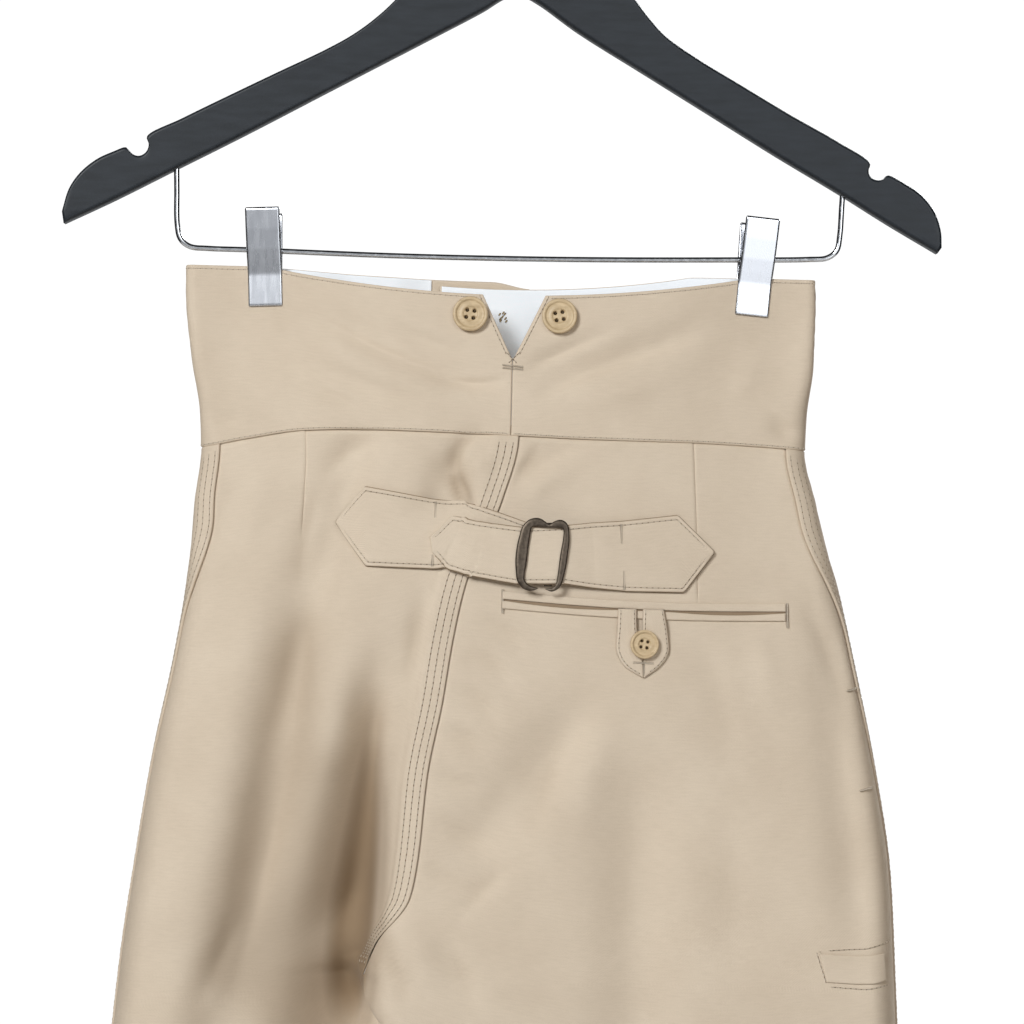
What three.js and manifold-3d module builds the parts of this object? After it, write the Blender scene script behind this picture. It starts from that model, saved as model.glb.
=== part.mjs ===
// High-waisted balloon trousers hanging by their waistband from a black wooden clip hanger.
// Millimetres, +Z up. The origin is the point of the hook that a rail carries. +Y is the front of
// the trousers, so a viewer looking along +Y sees their back, and +X is the wearer's right.
//
// The cloth is one surface for each leg: a closed ring of two faces, back and front, at every depth h
// below the waist. Each panel is a stretch of that surface given a wall, and what lies on a panel is
// made from the panel's own points, moved out.
import * as THREE from "three";
import Module from "manifold-3d";
import { mergeVertices } from "three/addons/utils/BufferGeometryUtils.js";

// ---- Driving dimensions -------------------------------------------------------------------------
const WAIST_Z = -242.5; // top of the waistband at the side folds
const BAND_H = 82; // waistband, from its top to the seam with the legs
const CROTCH_H = 352; // crotch point
const CROTCH_DROP = 35; // height of the round bottom of the crotch seam
const CROTCH_Y = -4; // crotch point, towards the back
const HEM_H = 1020; // outseam, with the waistband
const HEM_TURN = 25; // turned-up hem
const NOTCH_H = 38; // depth of the V at the centre back, on the flat band
const NOTCH_HALF = 15.4; // half of its width at the top
const CENTRE_BACK_X = 3.5; // centre back seam of the band
const SEAM_GAP = 0.3;
const CLOTH = 1.5; // wall of a leg panel
const BAND_PROUD = 0.5; // the band stands this far outside the leg panels
const BAND_IN = 1.1;
const LINING = 0.8;
const FELL_PROUD = 0.5; // triple-stitched seams
const FELL_WIDTH = 13;
const CLIP_HALF = 3.4; // from the middle of the cloth to its outside, in a clip
const CLIPS = [
  { name: "left", x: -121.2, z: -234.2, lean: -2.6, yaw: -5 },
  { name: "right", x: 123.4, z: -233.2, lean: 4.3, yaw: 9 },
];
const OVERLAP = { left: 11, right: -34, lift: 3.4, ramp: 24 }; // the front ends of the band

// ---- Tables -------------------------------------------------------------------------------------
// x of the side folds, at depth h below the waist
const SIDES = [
  { h: 0, left: -160, right: 152.8 }, { h: 12, left: -159.8, right: 153.5 },
  { h: 42, left: -156, right: 153 }, { h: 66, left: -151.3, right: 150.2 },
  { h: 82, left: -150.4, right: 149.8 }, { h: 110, left: -153.8, right: 157 },
  { h: 150, left: -155.8, right: 167.5 }, { h: 190, left: -161, right: 177 },
  { h: 245, left: -170.8, right: 189 }, { h: 295, left: -178, right: 197.4 },
  { h: 345, left: -184.3, right: 201 }, { h: 420, left: -190.5, right: 205.5 },
  { h: 520, left: -196, right: 209 }, { h: 620, left: -197, right: 209 },
  { h: 720, left: -191, right: 204 }, { h: 820, left: -181, right: 195.5 },
  { h: 920, left: -170, right: 186 }, { h: 1020, left: -162, right: 180 },
];
// x of the seat seam and of the fly, down to the crotch
const CENTRES = [
  { h: 0, seat: 3.5, fly: 8 }, { h: 82, seat: 7.4, fly: 7 }, { h: 114, seat: 0, fly: 5 },
  { h: 154, seat: -16.4, fly: 0 }, { h: 184, seat: -22.7, fly: -5 }, { h: 214, seat: -27, fly: -11 },
  { h: 250, seat: -33.5, fly: -19 }, { h: 290, seat: -37, fly: -30 }, { h: 310, seat: -40.5, fly: -38 },
  { h: 334, seat: -56.5, fly: -54 }, { h: 352, seat: -63.5, fly: -63.5 },
];
// x and y of the inside folds of the legs, from the crotch to the hem
const INSIDES = [
  { h: 352, left: -63.5, right: -63.5, leftY: -4, rightY: -4 },
  { h: 360, left: -57.5, right: -62.5, leftY: 6, rightY: -12 },
  { h: 368, left: -49, right: -58.5, leftY: 13, rightY: -18 },
  { h: 376, left: -40, right: -53, leftY: 17, rightY: -21 },
  { h: 400, left: -20, right: -45, leftY: 18, rightY: -22 },
  { h: 450, left: 10, right: -38, leftY: 18, rightY: -21 },
  { h: 520, left: 36, right: -34, leftY: 18, rightY: -21 },
  { h: 620, left: 43, right: -30, leftY: 17, rightY: -20 },
  { h: 720, left: 40, right: -22, leftY: 15, rightY: -18 },
  { h: 820, left: 32, right: -12, leftY: 13, rightY: -15 },
  { h: 920, left: 22, right: -1, leftY: 10, rightY: -11 },
  { h: 1020, left: 14, right: 8, leftY: 8, rightY: -8 },
];
// how far each face stands from the middle: at the centre, and near the side folds
const DEPTHS = [
  { h: 0, back: 13, front: 10, side: 3.6, fold: 3.5 }, { h: 45, back: 18, front: 14, side: 6, fold: 6 },
  { h: 82, back: 21, front: 18, side: 9, fold: 9 }, { h: 150, back: 27, front: 24, side: 15, fold: 12 },
  { h: 250, back: 32, front: 28, side: 22, fold: 14 }, { h: 352, back: 33, front: 30, side: 26, fold: 15 },
  { h: 620, back: 33, front: 30, side: 28, fold: 17 }, { h: 1020, back: 24, front: 22, side: 20, fold: 12 },
];
// y of each face of a leg near its outside and near its inside, below the crotch
const LEG_FACES = {
  left: { back: { out: -33, in: 3 }, front: { out: 26, in: 33 } },
  right: { back: { out: -28, in: -33 }, front: { out: 26, in: -6 } },
};
// Large folds: troughs (push > 0 on the back, towards the inside) and ridges (push < 0) along a line.
const FOLDS = [
  { face: "back", x0: -77, h0: 185, x1: -86, h1: 460, push: 17, width: 20 },
  { face: "back", x0: -108, h0: 150, x1: -158, h1: 420, push: 10, width: 15 },
  { face: "back", x0: -140, h0: 118, x1: -178, h1: 400, push: -5, width: 15 },
  { face: "back", x0: -74, h0: 98, x1: -104, h1: 142, push: 6, width: 12 },
  { face: "back", x0: -104, h0: 195, x1: -126, h1: 400, push: -6, width: 13 },
  { face: "back", x0: -24, h0: 96, x1: -34, h1: 124, push: 5, width: 10 },
  { face: "back", x0: 44, h0: 215, x1: -14, h1: 290, push: 5, width: 15 },
  { face: "back", x0: 70, h0: 250, x1: 74, h1: 440, push: 7, width: 18 },
  { face: "back", x0: 163, h0: 170, x1: 184, h1: 330, push: 5, width: 13 },
  { face: "back", x0: -92, h0: 18, x1: -8, h1: 52, push: 3, width: 9 },
  { face: "back", x0: 100, h0: 22, x1: 18, h1: 46, push: 3, width: 9 },
  { face: "back", x0: -118, h0: 42, x1: -52, h1: 62, push: 2.5, width: 8 },
  { face: "back", x0: -150, h0: 500, x1: -120, h1: 900, push: 8, width: 24 },
  { face: "back", x0: 44, h0: 470, x1: 62, h1: 930, push: 9, width: 26 },
  { face: "back", x0: 132, h0: 440, x1: 126, h1: 900, push: 7, width: 22 },
  { face: "front", x0: -104, h0: 150, x1: -112, h1: 860, push: 10, width: 24 },
  { face: "front", x0: -44, h0: 210, x1: -44, h1: 560, push: 6, width: 20 },
  { face: "front", x0: 74, h0: 160, x1: 92, h1: 880, push: 10, width: 24 },
  { face: "front", x0: 140, h0: 270, x1: 146, h1: 760, push: 6, width: 22 },
];
// Seam of the band with the legs and the top of the band, as depths that depend on x
const BAND_SEAM = [
  { x: -165, h: 92 }, { x: -150, h: 90.5 }, { x: -129, h: 86.2 }, { x: -99, h: 81.2 }, { x: -70, h: 80 },
  { x: -20, h: 80.8 }, { x: 49, h: 82.5 }, { x: 94, h: 82.8 }, { x: 126, h: 83.8 }, { x: 155, h: 85.4 },
];
const BAND_SAG = { back: 12, frontLeft: 4, frontRight: 7.7 }; // the top's drop between the clips
const SPAN = { middle: 0.5, half: 121, short: 0.75 }; // of the sagging top, and its share at the front right
const SAG_END = 260; // below this depth nothing sags

// ---- Small mathematics --------------------------------------------------------------------------
const clamp = (v, low, high) => Math.min(high, Math.max(low, v));
const mix = (a, b, t) => a + (b - a) * t;
const radians = THREE.MathUtils.degToRad;
function ease(low, high, v) {
  const t = clamp((v - low) / (high - low), 0, 1);
  return t * t * (3 - 2 * t);
}
// Monotone cubic through one named column of a table
function curveOf(table, key, value) {
  const n = table.length;
  const xs = table.map((row) => row[key]);
  const ys = table.map((row) => row[value]);
  const step = xs.slice(1).map((x, i) => x - xs[i]);
  const rise = step.map((d, i) => (ys[i + 1] - ys[i]) / d);
  const slope = ys.map((_, i) => {
    if (i === 0 || i === n - 1) return rise[Math.min(i, n - 2)];
    return rise[i - 1] * rise[i] <= 0 ? 0 : (2 * rise[i - 1] * rise[i]) / (rise[i - 1] + rise[i]);
  });
  return (x) => {
    if (x <= xs[0]) return ys[0];
    if (x >= xs[n - 1]) return ys[n - 1];
    const i = xs.findIndex((v) => v > x) - 1;
    const t = (x - xs[i]) / step[i];
    const u = 1 - t;
    return (1 + 2 * t) * u * u * ys[i] + t * u * u * step[i] * slope[i]
      + t * t * (3 - 2 * t) * ys[i + 1] - t * t * u * step[i] * slope[i + 1];
  };
}
const sideX = { left: curveOf(SIDES, "h", "left"), right: curveOf(SIDES, "h", "right") };
const insideX = { left: curveOf(INSIDES, "h", "left"), right: curveOf(INSIDES, "h", "right") };
const insideY = { left: curveOf(INSIDES, "h", "leftY"), right: curveOf(INSIDES, "h", "rightY") };
const seatX = curveOf(CENTRES, "h", "seat");
const flyX = curveOf(CENTRES, "h", "fly");
const depth = {
  back: curveOf(DEPTHS, "h", "back"), front: curveOf(DEPTHS, "h", "front"),
  side: curveOf(DEPTHS, "h", "side"), fold: curveOf(DEPTHS, "h", "fold"),
};
const bandSeam = curveOf(BAND_SEAM, "x", "h");
const SIGN = { left: -1, right: 1, back: -1, front: 1 };
const INSIDE_FOLD = 14; // reach of the round inside fold of a leg

// ---- The cloth surface --------------------------------------------------------------------------
// Share of a point in the grip of a clip: 1 between the jaws, falling to 0 around them
const GRIP = { jaw: 9, beside: 44, jawEnd: 20, below: 70 };
function grip(clip, x, h) {
  return (1 - ease(GRIP.jaw, GRIP.beside, Math.abs(x - clip.x))) * (1 - ease(GRIP.jawEnd, GRIP.below, h));
}

// Sum of the folds at a place: each is a groove with a bell-shaped section that fades at both ends
const FADE_SHARE = 0.45;
const LONGEST_FADE = 60;
function foldPush(face, x, h) {
  let total = 0;
  for (const f of FOLDS) {
    if (f.face !== face) continue;
    const [dx, dh] = [f.x1 - f.x0, f.h1 - f.h0];
    const length = Math.hypot(dx, dh);
    const along = ((x - f.x0) * dx + (h - f.h0) * dh) / length;
    const across = ((x - f.x0) * dh - (h - f.h0) * dx) / length;
    const fade = Math.min(length * FADE_SHARE, LONGEST_FADE);
    const begun = ease(-fade * 0.5, fade * 0.5, along);
    const ended = ease(length - fade * 0.5, length + fade * 0.5, along);
    const ends = begun * (1 - ended);
    total += -SIGN[face] * f.push * ends * Math.exp(-((across / f.width) ** 2));
  }
  return total;
}

// y of the middle of a leg's ring at its inside end
const middleY = (side, h) => (h <= CROTCH_H ? CROTCH_Y : insideY[side](h));
// 1 above the round of the crotch seam, falling as a quarter ellipse to 0 at the crotch
function crotchRound(h) {
  const t = clamp((h - CROTCH_H + CROTCH_DROP) / CROTCH_DROP, 0, 1);
  return Math.sqrt(1 - t * t);
}
// y of the seat seam or of the fly seam
function seamY(face, h) {
  const wall = SIGN[face] * depth[face](h);
  return CROTCH_Y + (wall - CROTCH_Y) * crotchRound(h);
}
// y of a face next to its seam: one face of each leg follows the seam inwards, the other keeps out
function faceEnd(side, face, h) {
  const follows = (side === "left") === (face === "back");
  const wall = SIGN[face] * depth[face](h);
  const off = Math.max(LEAST_OFF, Math.abs(seamY(face, h) - CROTCH_Y));
  const kept = follows ? CROTCH_Y + SIGN[face] * off : wall;
  return mix(kept, LEG_FACES[side][face].in * legScale(h), ease(CROTCH_H, CROTCH_H + BELOW_CROTCH, h));
}
const LEAST_OFF = 5; // a face next to the crotch seam stays this far from its middle
const BELOW_CROTCH = 24; // a leg takes its own form within this depth under the crotch
const HEM_SCALE = 0.62; // the legs are this share as deep at the hem
const legScale = (h) => mix(1, HEM_SCALE, ease(560, HEM_H, h));

// y of one face at x and h, before its ends are rounded. The back keeps clear of the front.
const LEAST_ROOM = 9;
function faceY(side, face, x, h, from, to) {
  const y = openFaceY(side, face, x, h, from, to);
  if (face === "front" || h < BAND_H) return y;
  const front = openFaceY(side, "front", x, h, from, to);
  const room = front - y;
  if (room > 2 * LEAST_ROOM) return y;
  return front - LEAST_ROOM - (room > 0 ? room ** 2 / (4 * LEAST_ROOM) : 0);
}
const LEG_STARTS = { from: 190, to: 400 }; // the torso's form gives way to the leg's
const SEAM_REACH = 24; // the seam's own depth acts this far beside it
const BELOW_BAND = 20; // the lap of the front ends fades from here
function openFaceY(side, face, x, h, from, to) {
  const s = SIGN[face];
  const u = clamp((x - from) / (to - from), 0, 1);
  const torso = s * mix(depth.side(h), depth[face](h), ease(0, 0.75, u));
  const leg = mix(LEG_FACES[side][face].out, LEG_FACES[side][face].in, ease(0.35, 0.8, u)) * legScale(h);
  let y = mix(torso, leg, ease(LEG_STARTS.from, LEG_STARTS.to, h));
  y = mix(y, faceEnd(side, face, h), Math.exp(-(((x - to) / SEAM_REACH) ** 2)));
  y += foldPush(face, x, h);
  for (const clip of CLIPS) {
    const held = s * CLIP_HALF + Math.tan(radians(clip.yaw)) * (x - clip.x);
    y = mix(y, held, grip(clip, x, h));
  }
  if (side === "left" && face === "front") {
    const across = ease(OVERLAP.right - OVERLAP.ramp, OVERLAP.right - 4, x);
    y += OVERLAP.lift * across * (1 - ease(BAND_H + BELOW_BAND, SAG_END, h));
  }
  return y;
}

// One face as a dense line from the side fold to its inside end, [x, y] at each point
function faceLine(side, face, h, to) {
  const out = SIGN[side];
  const from = sideX[side](h);
  const foldReach = depth.fold(h);
  const endY = faceY(side, face, to, h, from, to);
  const middle = middleY(side, h);
  const closing = h < CROTCH_H - CROTCH_DROP ? 1 : clamp((seamY(face, h) - middle) / (endY - middle), 0, 1);
  const endAngle = h >= CROTCH_H ? 0 : Math.asin(closing);
  const capX = to + out * INSIDE_FOLD * Math.cos(endAngle);
  const line = [];
  const turns = 10;
  for (let i = 0; i < turns; i++) {
    const a = (Math.PI / 2) * (i / turns);
    const x = from - out * foldReach * (1 - Math.cos(a));
    line.push([x, faceY(side, face, x, h, from, to) * Math.sin(a)]);
  }
  const steps = 60;
  const start = from - out * foldReach;
  for (let i = 0; i <= steps; i++) {
    const x = mix(start, capX, i / steps);
    line.push([x, faceY(side, face, x, h, from, to)]);
  }
  if (endAngle < radians(89)) {
    for (let i = 1; i <= turns; i++) {
      const a = mix(Math.PI / 2, endAngle, i / turns);
      const x = capX - out * INSIDE_FOLD * Math.cos(a);
      line.push([x, middle + (faceY(side, face, x, h, from, to) - middle) * Math.sin(a)]);
    }
  }
  return line;
}

// The drop of a point below its nominal depth: the band's seam and its sagging top
function sag(side, face, x, h) {
  const seam = bandSeam(x) - BAND_H;
  if (h > BAND_H) return seam * (1 - ease(BAND_H, SAG_END, h));
  const t = (x - SPAN.middle) / SPAN.half;
  const right = face === "front" && side === "right";
  const most = face === "back" ? BAND_SAG.back : right ? BAND_SAG.frontRight : BAND_SAG.frontLeft;
  const top = most * Math.max(0, 1 - (right ? (t / SPAN.short) ** 2 : t * t));
  return mix(top, seam, h / BAND_H);
}
const place = (side, face, x, y, h) => new THREE.Vector3(x, y, WAIST_Z - h - sag(side, face, x, h));

// Angle round the side fold at which the side seam lies, towards the back
const sideSeamAngle = (h) => radians(10 + 68 * (1 - ease(118, 178, h)) + 14 * (1 - ease(178, 300, h)));

// Points of a line at equal steps of its length between two of its places, each a share of the length
function spread(line, count, first, last) {
  const lengths = [0];
  for (let i = 1; i < line.length; i++) lengths.push(lengths[i - 1] + line[i].distanceTo(line[i - 1]));
  const total = lengths[lengths.length - 1];
  const made = [];
  for (let k = 0; k < count; k++) {
    const want = mix(first, last, k / (count - 1)) * total;
    let i = 1;
    while (i < line.length - 1 && lengths[i] < want) i++;
    const t = (want - lengths[i - 1]) / (lengths[i] - lengths[i - 1]);
    made.push(line[i - 1].clone().lerp(line[i], t));
  }
  return made;
}
// Share of a line's length at which it first passes x
function shareAt(line, x) {
  let [length, found] = [0, null];
  for (let i = 1; i < line.length; i++) {
    const step = line[i].distanceTo(line[i - 1]);
    const [a, b] = [line[i - 1].x - x, line[i].x - x];
    if (found === null && a * b <= 0 && a !== b) found = length + (step * a) / (a - b);
    length += step;
  }
  return found === null ? 0 : found / length;
}

// The whole ring of a leg at depth h: from the back's inside end, round the side, to the front's
function ringLine(side, h, backTo, frontTo) {
  const back = faceLine(side, "back", h, backTo).map(([x, y]) => place(side, "back", x, y, h));
  const front = faceLine(side, "front", h, frontTo).map(([x, y]) => place(side, "front", x, y, h));
  const atFold = back.length - 1;
  return { line: [...back.reverse(), ...front.slice(1)], atFold };
}
const insideEnd = (side, face, h) => {
  if (h >= CROTCH_H) return insideX[side](h);
  return face === "back" ? seatX(h) : flyX(h);
};

// ---- Walls from grids ---------------------------------------------------------------------------
// Outward normals of a grid of points, from its neighbours. `facing` turns them the right way.
function normalsOf(grid, facing) {
  return grid.map((row, j) => row.map((p, i) => {
    const a = row[Math.min(i + 1, row.length - 1)].clone().sub(row[Math.max(i - 1, 0)]);
    const below = grid[Math.min(j + 1, grid.length - 1)][i];
    const b = below.clone().sub(grid[Math.max(j - 1, 0)][i]);
    return a.cross(b).normalize().multiplyScalar(facing);
  }));
}
// A closed wall round a grid: its points moved out by `outer(i, j)` and in by `inner`
function wall(grid, normals, outer, inner) {
  const [rows, columns] = [grid.length, grid[0].length];
  const positions = [];
  const push = (amount) => grid.forEach((row, j) => row.forEach((p, i) => {
    const q = p.clone().addScaledVector(normals[j][i], amount(i, j));
    positions.push(q.x, q.y, q.z);
  }));
  push(outer);
  push(() => -inner);
  const faces = [];
  const at = (i, j, layer) => layer * rows * columns + j * columns + i;
  const quad = (a, b, c, d) => faces.push(a, b, c, a, c, d);
  for (let j = 0; j < rows - 1; j++)
    for (let i = 0; i < columns - 1; i++) {
      quad(at(i, j, 0), at(i, j + 1, 0), at(i + 1, j + 1, 0), at(i + 1, j, 0));
      quad(at(i, j, 1), at(i + 1, j, 1), at(i + 1, j + 1, 1), at(i, j + 1, 1));
    }
  for (let i = 0; i < columns - 1; i++) {
    quad(at(i, 0, 0), at(i + 1, 0, 0), at(i + 1, 0, 1), at(i, 0, 1));
    quad(at(i, rows - 1, 0), at(i, rows - 1, 1), at(i + 1, rows - 1, 1), at(i + 1, rows - 1, 0));
  }
  for (let j = 0; j < rows - 1; j++) {
    quad(at(0, j, 0), at(0, j, 1), at(0, j + 1, 1), at(0, j + 1, 0));
    quad(at(columns - 1, j, 0), at(columns - 1, j + 1, 0), at(columns - 1, j + 1, 1), at(columns - 1, j, 1));
  }
  return facingOut(positions, faces);
}
// A geometry whose faces point outwards, whichever way they were listed
function facingOut(positions, faces) {
  let volume = 0;
  const v = (k) => new THREE.Vector3(positions[3 * k], positions[3 * k + 1], positions[3 * k + 2]);
  for (let f = 0; f < faces.length; f += 3)
    volume += v(faces[f]).dot(v(faces[f + 1]).cross(v(faces[f + 2])));
  if (volume < 0)
    for (let f = 0; f < faces.length; f += 3) [faces[f + 1], faces[f + 2]] = [faces[f + 2], faces[f + 1]];
  const geometry = new THREE.BufferGeometry();
  geometry.setAttribute("position", new THREE.Float32BufferAttribute(positions, 3));
  geometry.setIndex(faces);
  geometry.computeVertexNormals();
  return geometry;
}
// The same, and its outer surface is kept for what lies on it.
const SKINS = { back: [], front: [] };
function skinned(grid, normals, outer, inner) {
  const geometry = wall(grid, normals, outer, inner);
  const moved = (p, i, j) => p.clone().addScaledVector(normals[j][i], outer(i, j));
  const points = grid.map((row, j) => row.map((p, i) => moved(p, i, j)));
  for (let j = 0; j < points.length - 1; j++)
    for (let i = 0; i < points[0].length - 1; i++) {
      const [a, b, c, d] = [points[j][i], points[j + 1][i], points[j + 1][i + 1], points[j][i + 1]];
      const face = normals[j][i].y + normals[j + 1][i + 1].y < 0 ? "back" : "front";
      SKINS[face].push([a, b, c], [a, c, d]);
    }
  return geometry;
}
const towards = (p, q, distance) => p.addScaledVector(q.clone().sub(p).normalize(), distance);

// ---- Materials ----------------------------------------------------------------------------------
const finish = (colour, roughness, metalness) =>
  new THREE.MeshStandardMaterial({ color: colour, roughness, metalness });
const TWILL = finish(0xd3c2aa, 0.85, 0);
const WHITE_COTTON = finish(0xe9edf5, 0.9, 0);
const BUTTON = finish(0xcdb48a, 0.45, 0);
const BRONZE = finish(0x4a4239, 0.4, 0.9);
const BLACK_WOOD = finish(0x23262c, 0.45, 0);
const CHROME = finish(0xc9cbd0, 0.15, 1);

const trousers = new THREE.Group();
function add(name, geometry, material, group = trousers) {
  const mesh = new THREE.Mesh(geometry, material);
  mesh.name = name;
  group.add(mesh);
  return mesh;
}

// ---- Leg panels ---------------------------------------------------------------------------------
const BACK_COLUMNS = 17;
const FRONT_COLUMNS = 13;
const crotchRows = [20, 42, 63].map((a) => CROTCH_H - CROTCH_DROP * (1 - Math.sin(radians(a))));
const PANEL_ROWS = [
  82, 97, 113, 130, 150, 172, 195, 220, 246, 272, 296, 317, ...crotchRows, 352,
  360, 368, 377, 392, 416, 456, 510, 590, 680, 780, 880, HEM_H - HEM_TURN, HEM_H,
];

// Outward direction at the seat or fly seam, so that the walls on both sides of it end alike
function seamNormal(face, h) {
  const t = clamp((h - CROTCH_H + CROTCH_DROP) / CROTCH_DROP, 0, 1);
  return new THREE.Vector3(0, SIGN[face] * Math.sqrt(1 - t * t), -t).normalize();
}

function legGrid(side) {
  const rows = PANEL_ROWS.map((h) => {
    const { line, atFold } = ringLine(side, h, insideEnd(side, "back", h), insideEnd(side, "front", h));
    const foldX = sideX[side](h) - SIGN[side] * depth.fold(h) * (1 - Math.cos(sideSeamAngle(h)));
    const seam = shareAt(line.slice(0, atFold + 1), foldX);
    const [backLength, whole] = [lengthOf(line.slice(0, atFold + 1)), lengthOf(line)];
    const share = (seam * backLength) / whole;
    return [...spread(line, BACK_COLUMNS, 0, share), ...spread(line, FRONT_COLUMNS, share, 1).slice(1)];
  });
  const normals = normalsOf(rows, side === "left" ? 1 : -1);
  const last = rows[0].length - 1;
  PANEL_ROWS.forEach((h, j) => {
    if (h <= CROTCH_H) {
      normals[j][0] = seamNormal("back", h);
      normals[j][last] = seamNormal("front", h);
    } else {
      normals[j][0] = normals[j][0].clone().add(normals[j][last]).normalize();
      normals[j][last] = normals[j][0].clone();
    }
  });
  return { rows, normals };
}
function lengthOf(line) {
  let total = 0;
  for (let i = 1; i < line.length; i++) total += line[i].distanceTo(line[i - 1]);
  return total;
}

const half = SEAM_GAP / 2;
const CROTCH_ZONE = { from: 285, tight: CROTCH_H - 8, to: 400 }; // four panels meet here, wider apart
function legPanel(side, face, { rows, normals }) {
  const pick = (row) => (face === "back" ? row.slice(0, BACK_COLUMNS) : row.slice(BACK_COLUMNS - 1));
  const grid = rows.map((row) => pick(row).map((p) => p.clone()));
  const out = normals.map(pick);
  const last = grid[0].length - 1;
  const [inner, outer, beside] = face === "back" ? [0, last, last - 1] : [last, 0, 1];
  grid.forEach((row, j) => {
    towards(row[outer], row[beside], half);
    const h = PANEL_ROWS[j];
    const above = h < CROTCH_ZONE.to;
    row[inner].x += SIGN[side] * (h > CROTCH_ZONE.from && above ? 2 * SEAM_GAP : half);
    const apart = h > CROTCH_ZONE.tight && above ? 0.8 : half;
    if (h > CROTCH_H - CROTCH_DROP) row[inner].y += SIGN[face] * apart;
  });
  grid[0].forEach((p, i) => towards(p, grid[1][i], half));
  const felled = (side === "left" && face === "back") || face === "front";
  const fellColumn = face === "back" ? 0 : outer;
  const raised = (i, j) => {
    const hem = PANEL_ROWS[j] >= HEM_H - HEM_TURN ? FELL_PROUD : 0;
    const near = felled && grid[j][i].distanceTo(grid[j][fellColumn]) < FELL_WIDTH;
    return Math.max(hem, near && PANEL_ROWS[j] < HEM_H ? FELL_PROUD : 0);
  };
  add(`${face}_${side}`, skinned(grid, out, raised, CLOTH), TWILL);
}
for (const side of ["left", "right"]) {
  const grid = legGrid(side);
  legPanel(side, "back", grid);
  legPanel(side, "front", grid);
}

// ---- Waistband ----------------------------------------------------------------------------------
const BAND_ROWS = [0, 10, 20, NOTCH_H, 54, 68, BAND_H];
// x of the back end of each half of the band: down the V, then along the centre back seam
const notchX = (side, h) => CENTRE_BACK_X + SIGN[side] * (half + NOTCH_HALF * Math.max(0, 1 - h / NOTCH_H));

// Half the band as a grid: its back as far as the side fold, then its front
const BAND_COLUMNS = { back: 18, front: 18, end: 6 };
const frontEnd = { left: OVERLAP.right - 4, right: 60 }; // where the last stretch of columns starts
function bandGrid(side) {
  const grid = BAND_ROWS.map((h) => {
    const { line, atFold } = ringLine(side, h, CENTRE_BACK_X, OVERLAP[side]);
    const back = line.slice(0, atFold + 1);
    const front = line.slice(atFold);
    const turn = shareAt(front, frontEnd[side]);
    return [
      ...spread(back, BAND_COLUMNS.back, shareAt(back, notchX(side, h)), 1),
      ...spread(front, BAND_COLUMNS.front, 0, turn).slice(1),
      ...spread(front, BAND_COLUMNS.end, turn, 1).slice(1),
    ];
  });
  const normals = normalsOf(grid, side === "left" ? 1 : -1);
  normals.forEach((row, j) => {
    row[0] = new THREE.Vector3(0, -1, 0);
    if (j === 0) row.forEach((n) => n.setZ(0).normalize());
  });
  return { grid, normals };
}
// A layer inside the band, between two of its columns
const LINING_TOP = 2.5; // the band's own cloth is folded over its top this far
const LINING_FOOT = 2;
const copyOf = (row, from, to) => row.slice(from, to + 1).map((p) => p.clone());
function layerInside(name, { grid, normals }, from, to, material) {
  const rows = grid.map((row) => copyOf(row, from, to));
  const last = rows.length - 1;
  rows[0].forEach((p, i) => towards(p, rows[1][i], LINING_TOP));
  rows[last].forEach((p, i) => towards(p, rows[last - 1][i], LINING_FOOT));
  rows.forEach((row) => {
    towards(row[0], row[1], SEAM_GAP);
    towards(row[row.length - 1], row[row.length - 2], SEAM_GAP + 0.7);
  });
  const start = BAND_IN + SEAM_GAP;
  add(name, wall(rows, normals.map((row) => copyOf(row, from, to)), () => -start, start + LINING), material);
}
for (const side of ["left", "right"]) {
  const band = bandGrid(side);
  const turn = BAND_COLUMNS.back + BAND_COLUMNS.front - 2;
  const end = band.grid[0].length - 1;
  const inFold = BAND_COLUMNS.back + 1;
  if (side === "left") {
    layerInside("lining_left", band, inFold, turn, WHITE_COTTON);
    layerInside("fly_facing", band, turn, end, TWILL);
  } else layerInside("lining_right", band, inFold, end, WHITE_COTTON);
  const rows = band.grid.map((row) => copyOf(row, 0, end));
  rows[rows.length - 1].forEach((p, i) => towards(p, rows[rows.length - 2][i], half));
  add(`waistband_${side}`, skinned(rows, band.normals, () => BAND_PROUD, BAND_IN), TWILL);
}

// ---- What lies on a panel -----------------------------------------------------------------------
// The outermost point of a face at x and at the true depth d below the waist
function onFace(face, x, d) {
  const z = WAIST_Z - d;
  for (const nudge of [0, 0.5, -0.5, 1, -1]) {
    let best = null;
    for (const [a, b, c] of SKINS[face]) {
      const area = (b.x - a.x) * (c.z - a.z) - (c.x - a.x) * (b.z - a.z);
      if (Math.abs(area) < 1e-9) continue;
      const u = ((b.x - x - nudge) * (c.z - z) - (c.x - x - nudge) * (b.z - z)) / area;
      const v = ((c.x - x - nudge) * (a.z - z) - (a.x - x - nudge) * (c.z - z)) / area;
      const w = 1 - u - v;
      if (u < -1e-9 || v < -1e-9 || w < -1e-9) continue;
      const y = u * a.y + v * b.y + w * c.y;
      if (best === null || (y - best) * SIGN[face] > 0) best = y;
    }
    if (best !== null) return new THREE.Vector3(x, best, z);
  }
  throw new Error(`no ${face} at ${x}, ${d}`);
}
function normalOn(face, x, d, reach = 3) {
  const a = onFace(face, x + reach, d).sub(onFace(face, x - reach, d));
  const b = onFace(face, x, d + reach).sub(onFace(face, x, d - reach));
  const n = a.cross(b).normalize();
  return n.y * SIGN[face] < 0 ? n.negate() : n;
}
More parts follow.
